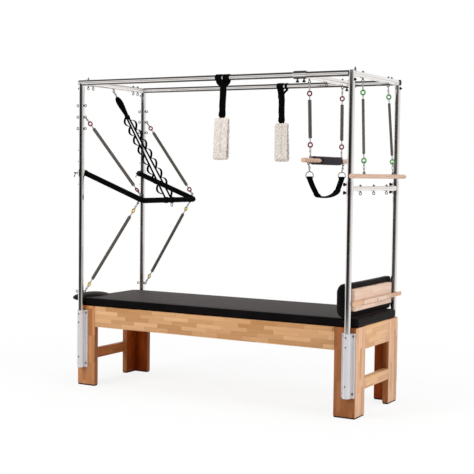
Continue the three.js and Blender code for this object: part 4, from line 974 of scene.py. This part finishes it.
def add_cross_bar(name, body, centre, along, out, sleeve, sides, seat_at, apart, turning, radius, half, eyes):
    """A bar that slides on two tubes: a collar on each, with two clamp knobs of which one turns, and eyes."""
    steel, fittings = Form(), Form()
    for side, sy in SIDES:
        middle = centre + Y * (sy * POST_Y)
        steel.lathe(middle - along * (sleeve[-1][1] / 2), along, sleeve, sides, closed=True)
        for sense in (-1, 1):
            seat = middle + along * (sense * apart) + out * seat_at
            fittings.lathe(seat - out * 1.5, out, KNOB_NUT, 16)
            knob = Form().knob(seat, out)
            if sense == turning:
                node = f"{name}_knob_{side}"
                knob.make(f"{name}_clamp_{side}_turning", black_plastic, node, "black_plastic", node)
            else:
                knob.make(f"{name}_clamp_{side}_fixed", black_plastic, body, "black_plastic")
    steel.rod(centre - Y * half, centre + Y * half, radius)
    for y in eyes:
        fittings.eye(centre + Y * y, -Z, radius, radius + EYE_AT - TUBE)
        fittings.lathe(centre + Y * y + Z * radius, Z, DOME_NUT, 16)
    steel.make(f"{name}_bar_steel", chrome, body, "chrome", f"{name}_crossbar")
    fittings.make(f"{name}_bar_fittings", bolt_steel, body, "chrome")


# The wooden bars: the trapeze with its grip and its sling, and the roll-down bar.
TRAPEZE_RADIUS, TRAPEZE_HALF = 15.0, 345.0
ROLL_RADIUS, ROLL_HALF = 14.0, 441.0
DOWEL_EYE_AT, DOWEL_EASE = 6.0, 2.5
GRIP_HALF, GRIP_BORE, GRIP_THICK, GRIP_OPEN = 215.0, 15.4, 11.0, 118.0
GRIP_STEPS, GRIP_SIDES, GRIP_GAPE = 60, 36, 1.05
SLING_HOOKS, SLING_RINGS = 264.0, 247.0
SLING_GATE, SLING_WIRE = 7.0, 2.5


def round_dowel(centre, half, radius):
    """A turned dowel with eased ends."""
    e = DOWEL_EASE
    end = [(0, 0), (radius - e, 0), (radius - e * 0.3, e * 0.3), (radius, e)]
    return Form().lathe(centre - Y * half, Y, end + [(r, 2 * half - h) for r, h in reversed(end)], 40)


def add_grip():
    """A soft sleeve round the dowel, wrinkled, and open at its front end so that the wood shows."""
    first = TRAPEZE_Y - GRIP_HALF
    rings = []
    for k in range(GRIP_STEPS + 1):
        centre = at(SLIDE_X, first + 2 * GRIP_HALF * k / GRIP_STEPS, TRAPEZE_Z)
        round_off = min(1.0, (min(k, GRIP_STEPS - k) + 0.6) / 2.2) ** 0.4
        gape = GRIP_GAPE * min(1.0, max(0.0, (first + GRIP_OPEN - centre.y) / 22))
        outer, inner = [], []
        for j in range(GRIP_SIDES + 1):
            angle = gape + (2 * math.pi - 2 * gape) * j / GRIP_SIDES
            out = at(math.cos(angle), 0, math.sin(angle))
            edge = min(1.0, (min(j, GRIP_SIDES - j) + 0.5) / 2.0) if gape > 0 else 1.0
            place = out * 3.0 + Y * (centre.y * 0.035)
            swell = 1.6 * noise.noise(place) + 1.1 * noise.noise(place * 2.7 + X * 9)
            outer.append(centre + out * (GRIP_BORE + 0.2 + (GRIP_THICK * edge ** 0.5 + swell) * round_off))
            inner.append(centre + out * GRIP_BORE)
        rings.append(outer + inner[::-1])
    piece = Form().loft(rings).make("trapeze_bar_grip", grip_cover, "trapeze", "foam", "trapeze_grip")


def sling_ring(y):
    """A D-shaped ring, round above and flat at its foot, with rounded corners."""
    points = [(26 * math.cos(t), 1484 + 24 * math.sin(t)) for t in (math.pi * k / 16 for k in range(17))]
    corner = [(20 + 6 * math.cos(t), 1478 - 6 * math.sin(t)) for t in (math.pi * k / 8 for k in range(1, 5))]
    points += [(-u, z) for u, z in corner] + corner[::-1]
    return [at(SLIDE_X + u, y, z) for u, z in points]


def add_sling():
    webs, metal = Form(), Form()
    for side, sy in SIDES:
        ring_y = TRAPEZE_Y + sy * SLING_RINGS
        ring_top = at(SLIDE_X, ring_y, 1510)
        top = bearing(at(SLIDE_X, TRAPEZE_Y + sy * SLING_HOOKS, TRAPEZE_Z - 21), ring_top, SMALL_EYE)
        along = unit(ring_top - top)
        near, far = -(EYE_WIRE + 2.9), (ring_top - top).length + 0.2
        middle, half = (near + far) / 2, (far - near) / 2
        metal.ring(top + along * middle, along, X, SLING_GATE, SLING_WIRE, 28, 10, half / SLING_GATE)
        metal.lathe(top + along * (middle - 6) + X * SLING_GATE, along, GATE, 14)
        metal.sweep(sling_ring(ring_y), circle(3.0, 10), side=Y, closed=True)
        webs.sweep([at(SLIDE_X, ring_y, 1477), at(SLIDE_X, ring_y - sy * 3, 1462)], slab(42, 9), side=X)
    metal.make("trapeze_sling_rings", snap_steel, "sling", "webbing")
    left, right = TRAPEZE_Y - SLING_RINGS, TRAPEZE_Y + SLING_RINGS
    path = smooth_path([at(SLIDE_X, y, z) for y, z in (
        (left, 1478), (left + 7, 1460), (left + 52, 1412), (-104, 1356), (-50, 1347), (TRAPEZE_Y, 1345),
        (110, 1354), (188, 1378), (right - 24, 1436), (right - 4, 1462), (right, 1478),
    )])
    webs.sweep(path, slab(40, 5, 0.4), side=X)
    webs.make("trapeze_sling_strap", webbing, "sling", "webbing", "trapeze_sling")
    pad = Form().sweep(path[22:-22], slab(50, 12, 0.42), side=X)
    piece = pad.make("trapeze_sling_pad", foam_black, "sling", "foam")
    subdivide(piece, 1)


def hang_dowel(hooks, name, centre, apart, eyes, radius, ends, coil, colour):
    """Hangs a wooden bar on two springs. `eyes` is the place of the back one of the two eyes above it."""
    for side, sy in SIDES:
        above, on_axis = at(eyes.x, sy * eyes.y, eyes.z), centre + Y * (sy * apart)
        top, foot = add_hook(hooks, on_axis, unit(above - on_axis), radius, radius + DOWEL_EYE_AT, above)
        add_spring(f"{name}_{side}", top, foot, ends, coil, colour)


def add_trapeze():
    hooks = Form()
    centre, eyes = at(SLIDE_X, TRAPEZE_Y, TRAPEZE_Z), at(SLIDE_X, 251, RAIL_Z - EYE_AT)
    hang_dowel(
        hooks, "trapeze", centre, 237, eyes, TRAPEZE_RADIUS, ((64, 98), (68, 104)), (10.2, 1.8), "red")
    for y in (-SLING_HOOKS, SLING_HOOKS):
        hooks.eye(centre + Y * y, -Z, TRAPEZE_RADIUS, TRAPEZE_RADIUS + DOWEL_EYE_AT, SMALL_EYE)
    hooks.make("trapeze_hooks", bolt_steel, "trapeze", "dowel")
    bar = round_dowel(centre, TRAPEZE_HALF, TRAPEZE_RADIUS)
    bar.make("trapeze_wooden_bar", dowel, "trapeze", "dowel", "trapeze_dowel")
    add_grip()
    add_sling()


def add_roll_down_bar():
    hooks = Form()
    centre, eyes = at(ROLL_X, 0, ROLL_Z), at(POST_X, 208, RAIL_Z - EYE_AT)
    hang_dowel(
        hooks, "roll", centre, 240, eyes, ROLL_RADIUS, ((64, 99), (68, 103, TURNED, 3)), (7.8, 1.5), "green")
    hooks.make("roll_bar_hooks", bolt_steel, "roll_down_bar", "dowel")
    bar = round_dowel(centre, ROLL_HALF, ROLL_RADIUS)
    bar.make("roll_wooden_bar", dowel, "roll_down_bar", "dowel", "roll_down_bar")


# The ankle loops: webbing hitched round a rail and a thick, flattened fleece loop with its pile in tufts.
# A hitch's two turns have an offset along the rail, a width and a place where they meet below. The strap's
# drop has heights, its sway along the rail and its swelling.
LOOP_TOP, LOOP_FOOT, SEAM_PIVOT = 1845.0, 1578.0, 1700.0
HITCHES = {"front": ((-28.0, 46.0, 0.0), (28.0, 46.0, 0.0)), "back": ((-4.0, 50.0, 0.0), (43.0, 17.0, 14.0))}
HITCH_LINE = ((1.0, 2082), (0.93, 2075), (0.45, 2062), (0.1, 2050), (0.0, 2036), (0.0, 2016))
STRAP_DROP = (
    (2058, 0, 1.0), (2040, 0.4, 1.0), (2005, 1.6, 1.04), (1965, 0.6, 1.0), (1925, -0.8, 1.03),
    (1890, 0.2, 0.98), (1872, -0.6, 1.1), (1864, -1.2, 1.14), (1856, 0.4, 1.0), (1846, 0.8, 0.84),
    (1826, 0, 0.84),
)
FLEECE_WIDTH, FLEECE_THICK, FLEECE_STEPS = 98.0, 13.0, 44
CREASE, TAPE_STEPS = 5.0, 24


def half_turn(half, height, start, steps=8):
    angles = [start - math.pi * k / steps for k in range(steps + 1)]
    return [(half * math.cos(a), height + half * math.sin(a)) for a in angles]


def loop_line(inset, half_top, half_foot):
    """A long closed drop in (depth, height), seen from the side."""
    crown = half_turn(half_top, LOOP_TOP - inset - half_top, math.pi)
    toe = half_turn(half_foot, LOOP_FOOT + inset + half_foot, 0.0)
    return crown[:-1] + between(crown[-1], toe[0], 10) + toe[:-1] + between(toe[-1], crown[0], 10)


def add_hitch(webs, side, x, y):
    """The webbing where it goes round the rail: two turns that meet below it."""
    for (offset, width, meet), thick, shift in zip(HITCHES[side], (3.4, 2.6), (-1.9, 1.9)):
        turn = collar(TUBE + 0.5, TUBE + thick, TUBE + thick + 0.8, width)
        webs.lathe(at(x + offset - width / 2, y, RAIL_Z), X, turn, 36, closed=True)
        webs.sweep(smooth_path([
            at(x + meet + (offset - meet) * share, y + shift * (1 + share * 2), z) for share, z in HITCH_LINE
        ], 5), slab(width, 3.2), side=X)


def add_ankle_loop(side, sy, x, lean):
    """One loop, which leans along its rail by `lean` at its foot. The back one's seam leans as well."""
    y, body = sy * POST_Y, f"ankle_loop_{side}"
    seam_lean = 0.02 if side == "back" else 0.0

    def middle(z):
        return x + lean * (RAIL_Z - z) / (RAIL_Z - LOOP_FOOT)

    def seam(z):
        return 3 + (z - SEAM_PIVOT) * seam_lean

    webs = Form()
    add_hitch(webs, side, x, y)
    drop = [at(middle(z) + sway, y, z) for z, sway, _ in STRAP_DROP]
    webs.sweep(drop, slab(46, 7.0, 0.25), side=X, scales=[size for _, _, size in STRAP_DROP])
    webs.make(f"{body}_strap", webbing, body, "webbing")

    outer, inner = loop_line(0, 15.0, 22.0), loop_line(FLEECE_THICK, 4.0, 9.0)
    skins = ([], [])
    for u in (FLEECE_WIDTH * (k / FLEECE_STEPS - 0.5) for k in range(FLEECE_STEPS + 1)):
        edge = max(0.0, min(1.0, (FLEECE_WIDTH / 2 - abs(u)) / 9.0))
        puff = 0.45 + 0.55 * math.sqrt(edge)
        for skin, sense in zip(skins, (1, -1)):
            ring = []
            for (oy, oz), (iy, iz) in zip(outer, inner):
                depth = (oy + iy) / 2 + sense * (oy - iy) / 2 * puff
                z = (oz + iz) / 2 + sense * (oz - iz) / 2 * puff
                if sense > 0 and abs(oy) > 8 and LOOP_FOOT + 24 < z < LOOP_TOP - 22:
                    depth -= math.copysign(CREASE * math.exp(-((u - seam(z)) / 5.5) ** 2), depth)
                ring.append(at(middle(z) + u, y + depth, z))
            skin.append(ring)
    tape = Form()
    for facing in (-1, 1):
        path = []
        for k in range(TAPE_STEPS + 1):
            z = LOOP_TOP - 26 - (LOOP_TOP - LOOP_FOOT - 52) * k / TAPE_STEPS
            half = 15.0 + 7.0 * (LOOP_TOP - z) / (LOOP_TOP - LOOP_FOOT)
            path.append(at(middle(z) + seam(z), y + facing * (half - 3.6), z))
        tape.sweep(path, slab(7.0, 2.4), side=X)
    tape.make(f"{body}_seam", seam_tape, body, "fleece")
    loop = Form().loft(skins[0] + skins[1][::-1], closed=True)
    piece = loop.make(f"{body}_fleece", fleece, None, "fleece", body)
    puff_fleece(piece, sy)
    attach(piece, body)


def puff_fleece(piece, seed):
    """Subdivides the loop and pushes its skin out in tufts, finer ones on top of coarse ones."""
    subdivide(piece, 2)
    bpy.context.view_layer.update()
    evaluated = piece.evaluated_get(bpy.context.evaluated_depsgraph_get())
    mesh = bpy.data.meshes.new_from_object(evaluated)
    piece.modifiers.clear()
    piece.data = mesh
    shift = at(7.3 * seed, 1.7, 4.1)
    moved = []
    for v in mesh.vertices:
        coarse, fine = noise.noise((v.co + shift) * 95), noise.noise((v.co + shift) * 260)
        moved.append(v.co + v.normal * (0.0028 * coarse + 0.0007 * fine + 0.0004))
    for v, place in zip(mesh.vertices, moved):
        v.co = place
    mesh.update()


# Cushions: closed crowned forms, in levels of (inset, height) from the underside up.
CORNER_STEPS, OUTLINE_STEP = 10, 26.0
MAT_SIZE, MAT_LOW = (1052, 338, 42), TOP + 0.3
MAT_LEVELS = [
    (14, 0.0), (6, 1.6), (1.5, 6), (0, 13), (0, 24), (0.8, 27), (0, 30), (0, 41), (2.5, 47.5), (8, 52),
    (18, 53.6), (60, 54.6), (140, 55.6), (240, 56.0), (300, 56.0),
]
REST_LOW, REST_HIGH = 612.1, 827.0
REST_SIZE = ((REST_HIGH - REST_LOW) / 2, 366, 34)
REST_LEVELS = [
    (8, 0.0), (2, 2), (0, 7), (0, 18), (1, 34), (7, 52), (20, 69), (38, 82), (62, 91), (90, 97.2), (102, 98),
]
HEAD_AT, HEAD_RADII, HEAD_RINGS = at(-1068, -170, 604), (105.0, 175.0, 33.0), 26
CROWN, DROOP = 54.6, 14.0


def outline_points(half_x, half_y, radius):
    """A rectangle with rounded corners, in steps of about the same length."""
    corners = []
    for quarter, (sx, sy) in enumerate(((1, 1), (-1, 1), (-1, -1), (1, -1))):
        for k in range(CORNER_STEPS + 1):
            angle = (quarter + k / CORNER_STEPS) * math.pi / 2
            x, y = (half_x - radius) * sx, (half_y - radius) * sy
            corners.append((x + radius * math.cos(angle), y + radius * math.sin(angle)))
    points = []
    for p, q in zip(corners, corners[1:] + corners[:1]):
        points += between(p, q, max(1, round(math.dist(p, q) / OUTLINE_STEP)))
    return points


def cushion_ring(size, level, place, drawn=0.0):
    """A cushion's edge at one level. Its straight sides are drawn in by up to `drawn` at their middles."""
    half_x, half_y, _ = size
    inset, height = level
    ring = []
    for px, py in outline_points(*size):
        x, y = px * ((half_x - inset) / half_x), py * ((half_y - inset) / half_y)
        if abs(py) > half_y - 1:
            y -= math.copysign(drawn * (1 - (px / half_x) ** 2), py)
        elif abs(px) > half_x - 1:
            x -= math.copysign(drawn * (1 - (py / half_y) ** 2), px)
        ring.append(place(x, y, height))
    return ring


def add_mat():
    def place(x, y, height):
        return at(x, y, MAT_LOW + height)

    cover = Form().loft([cushion_ring(MAT_SIZE, level, place) for level in MAT_LEVELS])
    cover.make("mat_cover", vinyl, "frame", "vinyl", "mat")
    piping = Form().sweep(cushion_ring(MAT_SIZE, (1.4, 47.0), place), circle(2.0, 8), closed=True)
    piping.make("mat_piping", vinyl, "frame", "vinyl")


def add_backrest():
    def place(x, y, height):
        return at(989.7 - height, y + 13, (REST_HIGH + REST_LOW) / 2 + x)

    cushion = Form().loft([cushion_ring(REST_SIZE, level, place, 3.0) for level in REST_LEVELS])
    cushion.make("backrest_cushion", vinyl, "backrest", "vinyl", "backrest_pad")
    board = Form().block(at(989, -306, 658.1), at(1028, 290, 791.1), 2.5)
    for x0, x1, z0, z1, bevel in (
        (1027.5, 1029.9, 691, 725, 0.5), (1029.5, 1049.5, 721.4, 725, 1.0),
        (1029.5, 1049.5, 691, 694.6, 1.0), (1045.9, 1049.5, 691, 725, 1.0),
    ):
        board.block(at(x0, -215, z0), at(x1, 215, z1), bevel)
    board.make("backrest_wooden_board", pale_board, "backrest", "pale_wood", "backrest_board")
    bolt = Form().lathe(at(1049, 0, 708), X, CHANNEL_BOLT, 20)
    bolt.make("backrest_channel_bolt", bolt_steel, "backrest", "pale_wood")
    bar = Form().block(at(1030.5, -366, 695), at(1045.5, 424, 721), 2.5)
    bar.make("backrest_sliding_bar", pale_bar, "backrest_bar", "pale_wood", "backrest_bar")


def add_head_cushion():
    rings = []
    for tilt in (math.pi * k / HEAD_RINGS for k in range(1, HEAD_RINGS)):
        spread = math.sin(tilt) ** 1.15
        rings.append([
            HEAD_AT + at(
                HEAD_RADII[0] * spread * math.cos(t),
                HEAD_RADII[1] * spread * math.copysign(abs(math.sin(t)) ** 1.12, math.sin(t)),
                -HEAD_RADII[2] * math.cos(tilt),
            )
            for t in around(64)
        ])
    piece = Form().loft(rings).make("head_cushion_cover", vinyl, None, "vinyl", "head_cushion")
    rest_on_mat(piece)
    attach(piece, "head_cushion")


def rest_on_mat(piece):
    """Flattens the cushion's underside where it lies on the mat."""
    mat_top, mat_end = (MAT_LOW + CROWN) * MM, (SHIFT - MAT_SIZE[0]) * MM
    for v in piece.data.vertices:
        over = min(max((v.co.x - mat_end) / (DROOP * MM), 0.0), 1.0)
        low = mat_top - (1 - math.sqrt(max(0.0, 1 - (1 - over) ** 2))) * DROOP * MM
        if over > 0 and v.co.z < low:
            v.co.z = low + 0.2 * MM


# Floor, backdrop and light. What polished steel shows is given as (azimuth in degrees, grey) near the
# horizon and as (height of the direction, grey) elsewhere.
WORLD_LIGHT = 0.34
FLOOR_REACH, FLOOR_DROP, FLOOR_GREY = 14.0, 0.0004, 0.86
GLOW_SHARE, GLOW_FROM, GLOW_TO = 0.85, 1.3, 3.2
STUDIO_SIDES = (
    (-180, 1.0), (-158, 0.95), (-143, 0.02), (-60, 0.01), (-44, 0.16), (-24, 0.48), (0, 0.7), (30, 0.95),
    (60, 1.0), (76, 0.5), (100, 0.45), (116, 1.0), (180, 1.0),
)
STUDIO_HEIGHTS = (
    (-1, 0.2), (-0.8, 0.08), (-0.66, 0.3), (-0.5, 1.0), (0.32, 1.0), (0.52, 0.55), (0.7, 0.08), (1, 0.04),
)
HORIZON, HORIZON_FROM, HORIZON_TO = -0.02, 0.11, 0.15
LAMPS = (
    ("key", (-2.4, -5.4, 3.7), (0, 0, 0.8), 2.6, 235),
    ("side", (5.8, -1.2, 2.6), (0, 0, 0.8), 2.6, 138),
    ("top", (0.3, 0, 5.2), (0, 0, 0), 4.5, 130),
    ("rear", (-1.0, 5.0, 3.2), (0, 0, 1.0), 3.0, 60),
)


def floor_material():
    """A white floor that shows as the background does, but keeps a share of the object's shadow near it."""
    material = bpy.data.materials.new("floor_white")
    material.use_nodes = True
    tree = material.node_tree
    tree.nodes.clear()

    def node(kind, inputs=(), **settings):
        return add_node(tree, kind, inputs, **settings).outputs

    path = node("ShaderNodeLightPath")
    place = node("ShaderNodeTexCoord")["Object"]
    away = node("ShaderNodeVectorMath", {0: place}, operation="LENGTH")["Value"]
    fade_inputs = {"Value": away, "From Min": GLOW_FROM, "From Max": GLOW_TO, "To Min": GLOW_SHARE}
    fade = node("ShaderNodeMapRange", fade_inputs)["Result"]
    seen = node("ShaderNodeMath", {0: path["Is Camera Ray"], 1: fade}, operation="MULTIPLY")[0]
    rays = {0: path["Is Glossy Ray"], 1: path["Is Transmission Ray"]}
    mirrored = node("ShaderNodeMath", rays, operation="MAXIMUM")[0]
    plain = node("ShaderNodeBsdfDiffuse", {"Color": (FLOOR_GREY, FLOOR_GREY, FLOOR_GREY, 1)})[0]
    shown = node("ShaderNodeMixShader", {0: seen, 1: plain, 2: node("ShaderNodeEmission")[0]})[0]
    surface = node("ShaderNodeMixShader", {0: mirrored, 1: shown, 2: node("ShaderNodeBsdfTransparent")[0]})[0]
    node("ShaderNodeOutputMaterial", {"Surface": surface})
    return material


def add_stage():
    mesh = bpy.data.meshes.new("floor")
    corners = [(x * FLOOR_REACH, y * FLOOR_REACH, 0) for x, y in ((-1, -1), (1, -1), (1, 1), (-1, 1))]
    mesh.from_pydata(corners, [], [(0, 1, 2, 3)])
    mesh.materials.append(floor_material())
    floor = bpy.data.objects.new("floor", mesh)
    floor.location.z = -FLOOR_DROP
    scene.collection.objects.link(floor)


def add_world():
    """A white studio. Polished steel also shows the dark side behind the photographer and the ceiling."""
    world = bpy.data.worlds.new("studio")
    scene.world = world
    world.use_nodes = True
    tree = world.node_tree
    tree.nodes.clear()

    def node(kind, inputs=(), **settings):
        return add_node(tree, kind, inputs, **settings).outputs

    def greys(value, stops, reach):
        """A grey for each place from -reach to reach, slightly warm."""
        stops = [((place / reach + 1) / 2, (grey, grey * 0.985, grey * 0.975)) for place, grey in stops]
        share = node("ShaderNodeMapRange", {"Value": value, "From Min": -reach, "From Max": reach})["Result"]
        return add_ramp(tree, share, stops)

    direction = node("ShaderNodeTexCoord")["Generated"]
    x, y, z = node("ShaderNodeSeparateXYZ", {0: direction})
    radians = node("ShaderNodeMath", {0: y, 1: x}, operation="ARCTAN2")[0]
    azimuth = node("ShaderNodeMath", {0: radians}, operation="DEGREES")[0]
    raised = node("ShaderNodeMath", {0: z, 1: HORIZON}, operation="SUBTRACT")[0]
    off_level = node("ShaderNodeMath", {0: raised}, operation="ABSOLUTE")[0]
    above_inputs = {"Value": off_level, "From Min": HORIZON_FROM, "From Max": HORIZON_TO}
    above = node("ShaderNodeMapRange", above_inputs)["Result"]
    levels = {0: above, 6: greys(azimuth, STUDIO_SIDES, 180), 7: greys(z, STUDIO_HEIGHTS, 1)}
    studio = node("ShaderNodeMix", levels, data_type="RGBA")[2]
    path = node("ShaderNodeLightPath")
    seen = path["Is Camera Ray"]
    for ray in ("Is Glossy Ray", "Is Transmission Ray"):
        seen = node("ShaderNodeMath", {0: seen, 1: path[ray]}, operation="MAXIMUM")[0]
    shown = node("ShaderNodeMix", {0: path["Is Glossy Ray"], 6: (1, 1, 1, 1), 7: studio}, data_type="RGBA")[2]
    light = node("ShaderNodeBackground", {"Color": (1.0, 0.985, 0.97, 1), "Strength": WORLD_LIGHT})[0]
    view = node("ShaderNodeBackground", {"Color": shown, "Strength": 1.0})[0]
    node("ShaderNodeOutputWorld", {0: node("ShaderNodeMixShader", {0: seen, 1: light, 2: view})[0]})


def add_lights():
    for name, place, aim, size, power in LAMPS:
        data = bpy.data.lights.new(name, "AREA")
        data.size = size
        data.energy = power
        lamp = bpy.data.objects.new(name, data)
        lamp.rotation_euler = (Vector(aim) - Vector(place)).to_track_quat("-Z", "Y").to_euler()
        lamp.location = place
        lamp.visible_glossy = False
        scene.collection.objects.link(lamp)


add_camera()
add_table()
add_brackets()
add_posts()
add_top_frame()
add_push_bar()
add_safety_strap()
add_cross_bar(
    "slide", "slide_carriage", at(SLIDE_X, 0, RAIL_Z), X, -Z, SLIDE_COLLAR, 48, seat_at=26.0, apart=22.5,
    turning=-1, radius=TUBE, half=POST_Y - 24, eyes=(-251, 0, 251))
add_trapeze()
add_roll_down_bar()
add_cross_bar(
    "low", "low_bar", at(POST_X, 0, LOW_Z), Z, -X, LOW_COLLAR, 40, seat_at=21.5, apart=25.0, turning=1,
    radius=BORE, half=POST_Y - 20, eyes=(-214, 0, 214))
add_ankle_loop("front", -1, 118.0, -12.0)
add_ankle_loop("back", 1, 150.0, 12.0)
add_mat()
add_backrest()
add_head_cushion()
add_stage()
add_world()
add_lights()

scene.view_settings.view_transform = "Standard"
